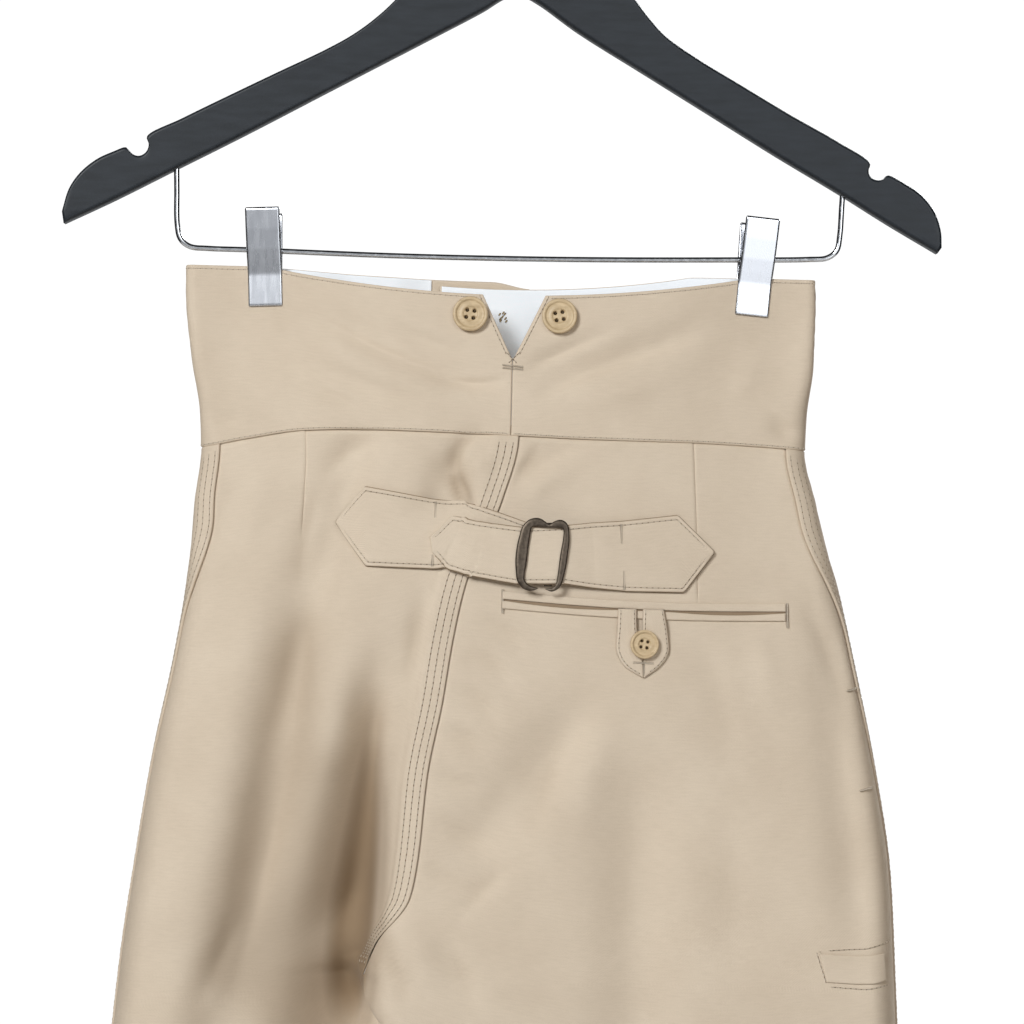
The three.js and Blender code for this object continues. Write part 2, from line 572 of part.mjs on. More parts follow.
// A rigid seat for a flat thing of some radius: its centre, its normal, clear of the cloth
function seatOn(face, x, d, radius, gap) {
  const normal = normalOn(face, x, d, radius);
  const centre = onFace(face, x, d);
  let rise = 0;
  for (let k = 0; k < 24; k++) {
    const a = (Math.PI * k) / 12;
    for (const r of [radius, radius * 0.55]) {
      const p = onFace(face, x + r * Math.cos(a), d + r * Math.sin(a));
      rise = Math.max(rise, p.sub(centre).dot(normal));
    }
  }
  return { centre: centre.addScaledVector(normal, rise + gap), normal };
}
// The straps are flat where the buckle holds them
const BUCKLE_AT = { x: 20.5, d: 141, reach: 22 };
const buckleSeat = seatOn("back", BUCKLE_AT.x, BUCKLE_AT.d, 17, 0);
function rest(x, d) {
  const { centre, normal } = buckleSeat;
  const cloth = onFace("back", x, d);
  const clothNormal = normalOn("back", x, d);
  const flat = new THREE.Vector3(x, 0, WAIST_Z - d);
  flat.y = centre.y - ((flat.x - centre.x) * normal.x + (flat.z - centre.z) * normal.z) / normal.y;
  const near = 1 - ease(BUCKLE_AT.reach, BUCKLE_AT.reach + 16, Math.abs(x - BUCKLE_AT.x));
  cloth.y = Math.min(cloth.y, mix(cloth.y, flat.y, near));
  return { point: cloth, normal: clothNormal.lerp(normal, near).normalize() };
}

// A strip that lies on a face: stations along it give its upper and lower edge as [x, depth], and how
// far it lies above the cloth. Its points between stations run straight.
const onCloth = (face) => (x, d) => ({ point: onFace(face, x, d), normal: normalOn(face, x, d) });
function strip(face, stations, steps, across, thickness, seat = onCloth(face)) {
  const grid = [];
  const normals = [];
  for (let s = 0; s < stations.length - 1; s++)
    for (let k = s === 0 ? 0 : 1; k <= steps; k++) {
      const [a, b, t] = [stations[s], stations[s + 1], k / steps];
      const upper = [mix(a.upper[0], b.upper[0], t), mix(a.upper[1], b.upper[1], t)];
      const lower = [mix(a.lower[0], b.lower[0], t), mix(a.lower[1], b.lower[1], t)];
      const lift = mix(a.lift, b.lift, t);
      const row = [];
      const rowNormals = [];
      for (let c = 0; c <= across; c++) {
        const w = c / across;
        const [x, d] = [mix(upper[0], lower[0], w), mix(upper[1], lower[1], w)];
        const { point, normal } = seat(x, d);
        row.push(point.addScaledVector(normal, lift));
        rowNormals.push(normal);
      }
      grid.push(row);
      normals.push(rowNormals);
    }
  return wall(grid, normals, () => thickness, 0);
}
const TIP = 0.6; // half height of a strap's blunt tip
const STRAP_WALL = 1.6;
const LEFT_LIFT = FELL_PROUD + 0.5;
const BAR_LIFT = LEFT_LIFT + STRAP_WALL + 2 * SEAM_GAP;
const BAR_THICK = 1.2;
const THREAD_LIFT = BAR_LIFT + BAR_THICK + SEAM_GAP; // the strap where it passes through the buckle
const FRAME_LIFT = THREAD_LIFT + STRAP_WALL + SEAM_GAP;
const LEFT_STRAP = [
  { upper: [-81.6, 128.5 - TIP], lower: [-81.6, 128.5 + TIP], lift: LEFT_LIFT },
  { upper: [-68, 111.6], lower: [-66.9, 150.5], lift: LEFT_LIFT },
  { upper: [-35, 117], lower: [-33.5, 151], lift: LEFT_LIFT + 0.3 },
  { upper: [-20, 119.8], lower: [-19, 147], lift: LEFT_LIFT + 0.3 },
  { upper: [13, 125], lower: [11.5, 148], lift: LEFT_LIFT },
  { upper: [21, 128], lower: [20, 148], lift: LEFT_LIFT },
];
const RIGHT_STRAP = [
  { upper: [105, 138 - TIP], lower: [105, 138 + TIP], lift: LEFT_LIFT },
  { upper: [89.6, 121.4], lower: [92.4, 158.5], lift: LEFT_LIFT },
  { upper: [59.4, 124.1], lower: [62.4, 158.1], lift: LEFT_LIFT },
  { upper: [45, 125.1], lower: [46, 156.4], lift: LEFT_LIFT + 0.8 },
  { upper: [32, 127.4], lower: [32, 155.6], lift: THREAD_LIFT },
  { upper: [10, 128.3], lower: [8, 155.5], lift: THREAD_LIFT },
  { upper: [0, 128.2], lower: [-2, 155], lift: THREAD_LIFT },
  { upper: [-12, 126.6], lower: [-14, 153.6], lift: BAR_LIFT + 0.9 },
  { upper: [-23.8, 125.4], lower: [-25.6, 151.4], lift: BAR_LIFT },
  { upper: [-36, 137.2], lower: [-34.4, 143.6], lift: BAR_LIFT },
];
add("strap_left", strip("back", LEFT_STRAP, 4, 4, STRAP_WALL, rest), TWILL);
add("strap_right", strip("back", RIGHT_STRAP, 3, 4, STRAP_WALL, rest), TWILL);

// Back pocket: two welts, and the buttoned tab that closes it
const WELT_WALL = 1.1;
const POCKET = { left: 1.2, right: 141.6, upper: 158.5, drop: 3.2, welt: 3.9, slit: 0.9 };
function weltStations(top, bottom) {
  return [0, 0.25, 0.5, 0.75, 1].map((t) => {
    const x = mix(POCKET.left, POCKET.right, t);
    const bow = 2 * Math.sin(Math.PI * t);
    const d = POCKET.upper + POCKET.drop * t + bow;
    return { upper: [x, d + top], lower: [x, d + bottom], lift: SEAM_GAP };
  });
}
const LOWER_WELT = POCKET.welt + POCKET.slit;
add("pocket_welt_upper", strip("back", weltStations(0, POCKET.welt), 3, 1, WELT_WALL), TWILL);
const lowerWelt = weltStations(LOWER_WELT, LOWER_WELT + POCKET.welt);
add("pocket_welt_lower", strip("back", lowerWelt, 3, 1, WELT_WALL), TWILL);

// Rule pocket at the side of the right leg: its welt lies in the mouth
const RULE_WELT = [
  { upper: [161.5, 333.2], lower: [165.4, 347], lift: 0.4 },
  { upper: [178, 334], lower: [180, 347.8], lift: 0.4 },
  { upper: [188, 333.8], lower: [189.4, 347.4], lift: 0.6 },
  { upper: [193.4, 332.9], lower: [194.6, 346], lift: 1 },
];
add("rule_pocket_welt", strip("back", RULE_WELT, 3, 2, 0.9), TWILL);

// ---- Solids -------------------------------------------------------------------------------------
const wasm = await Module();
wasm.setup();
// A three.js geometry as a solid, and back again
function toSolid(geometry) {
  const bare = geometry.index ? geometry.toNonIndexed() : geometry.clone();
  for (const name of Object.keys(bare.attributes)) if (name !== "position") bare.deleteAttribute(name);
  const merged = mergeVertices(bare, 1e-4);
  return new wasm.Manifold(new wasm.Mesh({
    numProp: 3,
    vertProperties: merged.attributes.position.array,
    triVerts: new Uint32Array(merged.index.array),
  }));
}
function toGeometry(solid) {
  const mesh = solid.getMesh();
  const geometry = new THREE.BufferGeometry();
  geometry.setAttribute("position", new THREE.BufferAttribute(new Float32Array(mesh.vertProperties), 3));
  geometry.setIndex([...mesh.triVerts]);
  geometry.computeVertexNormals();
  return geometry;
}
const box = (size, x, y, z) => toSolid(new THREE.BoxGeometry(...size).translate(x, y, z));
function rod(radius, length, axis, x, y, z, sides = 14) {
  const geometry = new THREE.CylinderGeometry(radius, radius, length, sides);
  if (axis === "x") geometry.rotateZ(Math.PI / 2);
  if (axis === "z") geometry.rotateX(Math.PI / 2);
  return toSolid(geometry.translate(x, y, z));
}
function shapeOf(points) {
  return new THREE.Shape(points.map(([x, y]) => new THREE.Vector2(x, y)));
}

// Tab of the back pocket: it comes out of the mouth, over the lower welt, and buttons on the panel
const TAB = [
  [58.2, 166.5], [58, 176], [58, 187], [62, 194], [71.5, 199.6], [80, 193.5], [84, 187], [83.6, 180],
  [81, 166.3], [70.2, 166.4], [70, 178], [67.6, 178], [67.4, 166.4],
];
const TAB_LIFT = SEAM_GAP + WELT_WALL + 0.45;
const TAB_WALL = 1.2;
const tabSeat = seatOn("back", 71, 184, 13, 0);
const tabLift = (d) => mix(TAB_LIFT, 0.5, ease(172, 186, d));
// A place on the tab's plane
function onTab(x, d, lift) {
  const { centre, normal } = tabSeat;
  const z = WAIST_Z - d;
  const y = centre.y - ((x - centre.x) * normal.x + (z - centre.z) * normal.z) / normal.y;
  return new THREE.Vector3(x, y, z).addScaledVector(normal, lift + tabLift(d));
}
{
  const how = { depth: TAB_WALL, bevelEnabled: false, curveSegments: 1 };
  const tab = new THREE.ExtrudeGeometry(shapeOf(TAB), how);
  const at = tab.attributes.position;
  for (let i = 0; i < at.count; i++) {
    const p = onTab(at.getX(i), at.getY(i), at.getZ(i));
    at.setXYZ(i, p.x, p.y, p.z);
  }
  add("pocket_tab", toGeometry(toSolid(facingOutOf(tab))), TWILL);
}
// The same triangles with their faces outwards
function facingOutOf(geometry) {
  const bare = geometry.index ? geometry : mergeVertices(stripped(geometry), 1e-4);
  return facingOut([...bare.attributes.position.array], [...bare.index.array]);
}
function stripped(geometry) {
  const bare = geometry.clone();
  for (const name of Object.keys(bare.attributes)) if (name !== "position") bare.deleteAttribute(name);
  return bare;
}

// ---- Buttons ------------------------------------------------------------------------------------
// Four-hole button with a raised rim and a raised ring, standing on its seat
function button(name, { radius: r, thickness: t, hole, spacing }, { centre, normal }) {
  const profile = [
    [0, 0], [r * 0.86, 0], [r, t * 0.4], [r * 0.95, t], [r * 0.84, t], [r * 0.76, t * 0.76],
    [r * 0.48, t * 0.8], [r * 0.38, t * 0.6], [0, t * 0.56],
  ].map(([x, y]) => new THREE.Vector2(x, y));
  let solid = toSolid(new THREE.LatheGeometry(profile, 16));
  for (const [sx, sz] of [[-1, -1], [-1, 1], [1, -1], [1, 1]])
    solid = solid.subtract(rod(hole, 3 * t, "y", (sx * spacing) / 2, 0, (sz * spacing) / 2, 6));
  const mesh = add(name, toGeometry(solid), BUTTON);
  mesh.quaternion.setFromUnitVectors(new THREE.Vector3(0, 1, 0), normal);
  mesh.position.copy(centre);
}
const BRACE_BUTTONS = [
  { name: "brace_button_left", face: "back", x: -18, d: 22.2 },
  { name: "brace_button_right", face: "back", x: 26.2, d: 22.2 },
  { name: "band_button", face: "front", x: 1, d: 24 },
  { name: "brace_button_front_left", face: "front", x: -76, d: 24 },
  { name: "brace_button_front_right", face: "front", x: 78, d: 24 },
];
const LARGE = { radius: 8.75, thickness: 3.2, hole: 0.95, spacing: 3.6 };
const SMALL = { radius: 7.15, thickness: 2.8, hole: 0.8, spacing: 3 };
for (const { name, face, x, d } of BRACE_BUTTONS) button(name, LARGE, seatOn(face, x, d, 9, 0.5));
button("pocket_button", SMALL, {
  centre: onTab(71.4, 184.5, TAB_WALL + 0.75),
  normal: tabSeat.normal,
});

// ---- Buckle -------------------------------------------------------------------------------------
// Open frame with a dip at its top and a gap at its bottom, [x, depth]
const FRAME = [
  [19.1, 157.3], [16.5, 158.3], [14, 158.4], [11.1, 157.4], [9, 155], [8, 152.7], [7.3, 146.9], [7.2, 142.2],
  [7.8, 136.4], [8.9, 131.3], [10, 127.4], [11.9, 124.8], [14.1, 123.2], [16.9, 122.5], [19.5, 123],
  [21.4, 124.2], [23.7, 125.5], [25.6, 124.2], [27.8, 123.3], [29.7, 123.3], [31.7, 124.4], [32.9, 126.5],
  [33.5, 130.7], [33.5, 135.1], [33, 139.9], [32.2, 146.3], [31.2, 151.1], [30.2, 154.7], [28.6, 157.1],
  [26.4, 158.4], [24.8, 158.6], [23.2, 158.3], [21.9, 157.4], [25.4, 156.9], [27, 155.4], [27.9, 152.2],
  [28.5, 146.4], [29.2, 140], [30, 134.6], [30.6, 129.5], [30.1, 127.6], [27.3, 127.3], [23.7, 127.3],
  [17, 126.9], [15.1, 127.3], [14.5, 129.2], [13.7, 135.6], [13.2, 141], [12.7, 145.8], [12, 149.7],
  [11.9, 152.6], [12.9, 154.5], [14.9, 156], [17.1, 156.6],
];
const FRAME_WALL = 2;
{
  const flat = (points, from, to) => toSolid(facingOutOf(new THREE.ExtrudeGeometry(
    shapeOf(points), { depth: to - from, bevelEnabled: false },
  ).translate(0, 0, from)));
  const rect = (x0, x1, d0, d1) => [[x0, d0], [x1, d0], [x1, d1], [x0, d1]];
  const solid = flat(FRAME, FRAME_LIFT, FRAME_LIFT + FRAME_WALL)
    .add(flat(rect(21.5, 25.5, 124.8, 157.9), BAR_LIFT, BAR_LIFT + BAR_THICK))
    .add(flat(rect(21.5, 25.5, 124.8, 126.5), BAR_LIFT, FRAME_LIFT + 1))
    .add(flat(rect(22.6, 25.5, 156.9, 157.9), BAR_LIFT, FRAME_LIFT + 1));
  const { centre, normal } = buckleSeat;
  // The frame's flat axes on the cloth: across, downwards, out
  const across = new THREE.Vector3(1, -normal.x / normal.y, 0).normalize();
  const down = across.clone().cross(normal).normalize();
  if (down.z > 0) down.negate();
  const basis = new THREE.Matrix4().makeBasis(across, down, normal).setPosition(centre);
  const local = toGeometry(solid.translate([-BUCKLE_AT.x, -BUCKLE_AT.d, 0]));
  const turned = local.applyMatrix4(basis);
  add("buckle", facingOut([...turned.attributes.position.array], [...turned.index.array]), BRONZE);
}

// ---- Hanger -------------------------------------------------------------------------------------
const WOOD = 12;
const WOOD_EDGE = 1.4;
const HANGER = [
  [-222.1, -223.4], [-223.1, -217.6], [-219.8, -206], [-214.3, -197.8], [-206.2, -191], [-191.7, -184.6],
  [-190, -187], [-187.6, -188.6], [-184.6, -188.8], [-181.6, -186.6], [-180.6, -183], [-182, -179],
  [-164.3, -169.7], [-141.7, -158], [-117.5, -145.7], [-93.4, -133.6], [-80.4, -126], [-69.2, -117.5],
  [-58.9, -107.5], [-46.5, -92], [-35, -76.5], [-25, -67], [-14, -62.8], [0, -62], [14, -62.8], [26, -66.3],
  [37, -76], [48.5, -90.5], [59.9, -104.6], [67.5, -114.2], [75.9, -123], [90.9, -133.2], [114.1, -146.5],
  [138.9, -160.6], [163.7, -173.9], [179.5, -184], [178.6, -187.6], [180.2, -191], [183.4, -192.2],
  [186.4, -191.4], [187.8, -189.4], [196.8, -193.5], [205.2, -199], [211.9, -207], [215.4, -216.7],
  [216, -226.5], [214, -227.9], [189.2, -214], [164.3, -199.2], [131.2, -180.4], [98.1, -160.8],
  [64.9, -141.2], [31.8, -121.6], [12, -108], [4.5, -104.4], [-3.4, -104.8], [-16, -112.5], [-44.5, -128.3],
  [-92.8, -154.8], [-131.6, -176.2], [-168.6, -195.9], [-197.6, -211.3],
];
const BAR_RADIUS = 1.4;
const BAR_PATH = [
  [-167, -187], [-166.4, -205], [-165.8, -222], [-164, -229.5], [-159.3, -233.2], [-150, -234],
  [-130.2, -234.2], [-59.3, -235.4], [5.9, -235.4], [56.9, -234.7], [110.7, -233.4], [150, -232.2],
  [159.4, -231.2], [164, -227.5], [165.4, -220], [166, -206], [166.6, -192],
];
const HOOK_RADIUS = 1.9;
const HOOK_LOOP = 17 + HOOK_RADIUS;
const CROWN = { x: 1, z: -62 };

// A round wire along points of the XZ plane
function wire(points, radius, steps, sides) {
  const places = points.map(([x, z]) => new THREE.Vector3(x, 0, z));
  const extrudePath = new THREE.CatmullRomCurve3(places, false, "centripetal");
  const round = new THREE.Shape().absarc(0, 0, radius, 0, 2 * Math.PI, false);
  return new THREE.ExtrudeGeometry(round, { steps, curveSegments: sides, bevelEnabled: false, extrudePath });
}
function hanger() {
  const slab = new THREE.ExtrudeGeometry(shapeOf(HANGER), {
    depth: WOOD - 2 * WOOD_EDGE, bevelEnabled: true, bevelThickness: WOOD_EDGE, bevelSize: WOOD_EDGE,
    bevelOffset: -WOOD_EDGE, bevelSegments: 2, curveSegments: 1,
  });
  slab.translate(0, 0, -WOOD / 2 + WOOD_EDGE).rotateX(Math.PI / 2);
  let solid = toSolid(slab);
  solid = solid.subtract(rod(HOOK_RADIUS + 0.35, 30, "z", CROWN.x, 0, CROWN.z - 5, 14));
  for (const [x, z] of [BAR_PATH[0], BAR_PATH[BAR_PATH.length - 1]])
    solid = solid.subtract(rod(BAR_RADIUS + 0.45, 30, "z", x, 0, z - 14, 12));
  return solid;
}
add("hanger_body", toGeometry(hanger()), BLACK_WOOD);
add("trouser_bar", wire(BAR_PATH, BAR_RADIUS, 36, 5), CHROME);
{
  const top = -HOOK_LOOP + HOOK_RADIUS; // height of the loop's centre
  const loop = [];
  for (let a = -30; a <= 200; a += 23) {
    const r = radians(a);
    loop.push([HOOK_LOOP * Math.cos(r), top + HOOK_LOOP * Math.sin(r)]);
  }
  const stem = [[CROWN.x, CROWN.z - 16], [CROWN.x, CROWN.z], [1.4, -50], [5, -40.5], [11.5, -33.5]];
  const hook = toSolid(wire([...stem, ...loop], HOOK_RADIUS, 32, 6));
  const collar = rod(5.4, 2.4, "z", CROWN.x, 0, CROWN.z + 1.7, 16);
  add("hook", toGeometry(hook.add(collar)), CHROME);
}

// ---- Clips --------------------------------------------------------------------------------------
const LEAF = { width: 17.4, wall: 0.9, ear: 0.8 };
const LEAF_SIDE = [ // y and z of a leaf's inner surface, from the bar
  [4.35, -28.4], [4.35, -12], [5.6, -6.5], [7, 0], [8.4, 10], [9.4, 20.8],
];
// Leaf on one side of the cloth, with two ears that carry the bar
function leaf(sign, earAt) {
  const inner = LEAF_SIDE.map(([y, z]) => [sign * y, z]);
  const outer = LEAF_SIDE.map(([y, z]) => [sign * (y + LEAF.wall), z]).reverse();
  const section = shapeOf([...inner, ...outer]);
  const plate = new THREE.ExtrudeGeometry(section, { depth: LEAF.width, bevelEnabled: false });
  plate.translate(0, 0, -LEAF.width / 2);
  plate.applyMatrix4(new THREE.Matrix4().set(0, 0, 1, 0, 1, 0, 0, 0, 0, 1, 0, 0, 0, 0, 0, 1));
  let solid = toSolid(facingOutOf(plate));
  for (const side of [-1, 1]) {
    const ear = box([LEAF.ear, 11.6, 9.4], side * (earAt - LEAF.ear / 2), sign * 2.2, 0.4);
    solid = solid.add(ear);
  }
  return solid.subtract(rod(3.4, 30, "x", 0, 0, 0, 12));
}
for (const clip of CLIPS) {
  const group = new THREE.Group();
  group.rotation.set(0, radians(clip.lean), radians(clip.yaw), "ZYX");
  group.position.set(clip.x, 0, clip.z);
  trousers.add(group);
  add(`clip_${clip.name}_back`, toGeometry(leaf(-1, LEAF.width / 2)), CHROME, group);
  add(`clip_${clip.name}_front`, toGeometry(leaf(1, LEAF.width / 2 - LEAF.ear - 0.3)), CHROME, group);
  const coil = rod(4.4, 12, "x", 0, 0, 0, 16).subtract(rod(3.3, 20, "x", 0, 0, 0, 12));
  add(`clip_${clip.name}_spring`, toGeometry(coil), CHROME, group);
}

export default trousers;
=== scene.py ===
# %% [markdown]
# # Balloon trousers on a clip hanger
# These trousers are cut flat from cotton drill: two backs, two fronts and a high band in two halves.
# Every panel is sewn to its neighbours with flat felled seams, so a finished leg is a closed tube.
# The scene builds that tube as one surface in numpy and cuts the panels out of it, which keeps the
# seams closed and lets straps, pockets and stitches be laid on the same surface afterwards.
# Lengths inside the script are millimetres; a mesh is written in metres.

# %% Frame and packages
import math

import bpy
import numpy as np
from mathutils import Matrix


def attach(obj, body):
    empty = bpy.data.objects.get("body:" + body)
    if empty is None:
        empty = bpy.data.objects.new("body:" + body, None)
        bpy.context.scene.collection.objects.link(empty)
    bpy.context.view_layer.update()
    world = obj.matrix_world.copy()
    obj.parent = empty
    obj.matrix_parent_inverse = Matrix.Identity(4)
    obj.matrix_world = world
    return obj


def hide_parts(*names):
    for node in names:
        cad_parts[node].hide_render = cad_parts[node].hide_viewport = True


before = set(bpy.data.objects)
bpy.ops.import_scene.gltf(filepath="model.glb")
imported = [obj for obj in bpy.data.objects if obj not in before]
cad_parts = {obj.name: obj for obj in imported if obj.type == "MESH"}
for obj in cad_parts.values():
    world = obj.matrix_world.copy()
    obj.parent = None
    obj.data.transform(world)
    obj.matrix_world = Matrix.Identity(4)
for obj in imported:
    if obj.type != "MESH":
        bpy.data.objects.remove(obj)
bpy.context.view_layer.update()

# %% [markdown]
# ## Measures of the cut
# A pattern cutter works from a few levels and widths: waist, band seam, crotch, hem. The tables give
# the tube's sides, its seams and how far each face stands from the middle, at a depth h below the
# waist. A table is read with a monotone cubic, which runs smoothly and never swings past a row.

# %% Levels and widths
WAIST_Z = -242.5
BAND_H, CROTCH_H, CROTCH_DROP, CROTCH_Y, HEM_H = 82.0, 352.0, 35.0, -4.0, 1020.0
NOTCH_H, NOTCH_HALF, CENTRE_BACK_X = 38.0, 15.4, 3.5
CLIP_HALF, LEAST_ROOM, INSIDE_FOLD = 3.4, 9.0, 14.0
CLIPS = {"left": (-121.2, -234.2, -2.6, -5.0), "right": (123.4, -233.2, 4.3, 9.0)}
OVERLAP = {"left": 11.0, "right": -34.0, "lift": 3.4, "ramp": 24.0}
SIGN = {"left": -1.0, "right": 1.0, "back": -1.0, "front": 1.0}
SIDES = np.array([  # h, left side fold, right side fold
    (0, -160, 152.8), (12, -159.8, 153.5), (42, -156, 153), (66, -151.3, 150.2), (82, -150.4, 149.8),
    (110, -153.8, 157), (150, -155.8, 167.5), (190, -161, 177), (245, -170.8, 189), (295, -178, 197.4),
    (345, -184.3, 201), (420, -190.5, 205.5), (520, -196, 209), (620, -197, 209), (720, -191, 204),
    (820, -181, 195.5), (920, -170, 186), (1020, -162, 180)])
CENTRES = np.array([  # h, seat seam, fly seam
    (0, 3.5, 8), (82, 7.4, 7), (114, 0, 5), (154, -16.4, 0), (184, -22.7, -5), (214, -27, -11),
    (250, -33.5, -19), (290, -37, -30), (310, -40.5, -38), (334, -56.5, -54), (352, -63.5, -63.5)])
INSIDES = np.array([  # h, inside fold of the left and the right leg, then their y
    (352, -63.5, -63.5, -4, -4), (360, -57.5, -62.5, 6, -12), (368, -49, -58.5, 13, -18),
    (376, -40, -53, 17, -21), (400, -20, -45, 18, -22), (450, 10, -38, 18, -21), (520, 36, -34, 18, -21),
    (620, 43, -30, 17, -20), (720, 40, -22, 15, -18), (820, 32, -12, 13, -15), (920, 22, -1, 10, -11),
    (1020, 14, 8, 8, -8)])
DEPTHS = np.array([  # h, back face, front face, near the sides, reach of the side fold
    (0, 13, 10, 3.6, 3.5), (45, 18, 14, 6, 6), (82, 21, 18, 9, 9), (150, 27, 24, 15, 12),
    (250, 32, 28, 22, 14), (352, 33, 30, 26, 15), (620, 33, 30, 28, 17), (1020, 24, 22, 20, 12)])
LEG_FACES = {("left", "back"): (-33, 3), ("left", "front"): (26, 33),
             ("right", "back"): (-28, -33), ("right", "front"): (26, -6)}
BAND_SEAM = np.array([
    (-165, 92), (-150, 90.5), (-129, 86.2), (-99, 81.2), (-70, 80), (-20, 80.8), (49, 82.5),
    (94, 82.8), (126, 83.8), (155, 85.4)])
BAND_SAG = {("left", "back"): 12.0, ("right", "back"): 12.0, ("left", "front"): 4.0, ("right", "front"): 7.7}


def mix(a, b, t):
    """Weighted mean: a at t = 0 and b at t = 1."""
    return a + (b - a) * t


def ease(low, high, v):
    """0 below low, 1 above high, and between them 3t^2 - 2t^3."""
    t = np.clip((v - low) / (high - low), 0, 1)
    return t * t * (3 - 2 * t)


def curve(table, column):
    """Monotone cubic through one column: each slope is the harmonic mean of the steps beside it."""
    xs, ys = table[:, 0].astype(float), table[:, column].astype(float)
    step = np.diff(xs)
    rise = np.diff(ys) / step
    product = rise[:-1] * rise[1:]
    total = np.where(product > 0, rise[:-1] + rise[1:], 1)
    slope = np.concatenate([rise[:1], np.where(product > 0, 2 * product / total, 0), rise[-1:]])

    def at(x):
        x = np.clip(x, xs[0], xs[-1])
        i = np.clip(np.searchsorted(xs, x, side="right") - 1, 0, len(step) - 1)
        t = (x - xs[i]) / step[i]
        u = 1 - t
        return ((1 + 2 * t) * u * u * ys[i] + t * u * u * step[i] * slope[i]
                + t * t * (3 - 2 * t) * ys[i + 1] - t * t * u * step[i] * slope[i + 1])

    return at


side_x = {"left": curve(SIDES, 1), "right": curve(SIDES, 2)}
inside_x = {"left": curve(INSIDES, 1), "right": curve(INSIDES, 2)}
inside_y = {"left": curve(INSIDES, 3), "right": curve(INSIDES, 4)}
seat_x, fly_x = curve(CENTRES, 1), curve(CENTRES, 2)
depth = {"back": curve(DEPTHS, 1), "front": curve(DEPTHS, 2), "side": curve(DEPTHS, 3),
         "fold": curve(DEPTHS, 4)}
band_seam = curve(BAND_SEAM, 1)
print("waist", round(float(side_x["right"](0) - side_x["left"](0)), 1), "mm across")

# %% [markdown]
# ## Folds
# Hung by two clips, the cloth sags between them and falls in troughs and ridges. The broad ones are
# straight soft grooves. The creases are arcs pressed into the cloth by wear and by the cinch strap; each
# may be steeper on one side, as a crease in drill is, and two long ones deepen the folds of the left leg.

# %% Fold tables
FOLDS = [  # face, x and h of both ends, push inwards, half width
    ("back", -58, 200, -72, 372, 14, 13), ("back", -92, 158, -140, 420, 7, 16),
    ("back", -120, 150, -160, 400, -4, 17), ("back", -70, 92, -92, 160, 6, 12),
    ("back", -82, 205, -106, 420, -4, 13), ("back", -24, 96, -34, 124, 5, 10),
    ("back", 44, 215, -14, 290, 5, 15), ("back", 70, 250, 74, 440, 7, 18),
    ("back", 163, 170, 184, 330, 5, 13), ("back", -92, 18, -8, 52, 3, 9),
    ("back", 100, 22, 18, 46, 3, 9), ("back", -118, 42, -52, 62, 2.5, 8),
    ("back", -150, 500, -120, 900, 8, 24), ("back", 44, 470, 62, 930, 9, 26),
    ("back", 132, 440, 126, 900, 7, 22), ("front", -104, 150, -112, 860, 10, 24),
    ("front", -44, 210, -44, 560, 6, 20), ("front", 74, 160, 92, 880, 10, 24),
    ("front", 140, 270, 146, 760, 6, 22)]
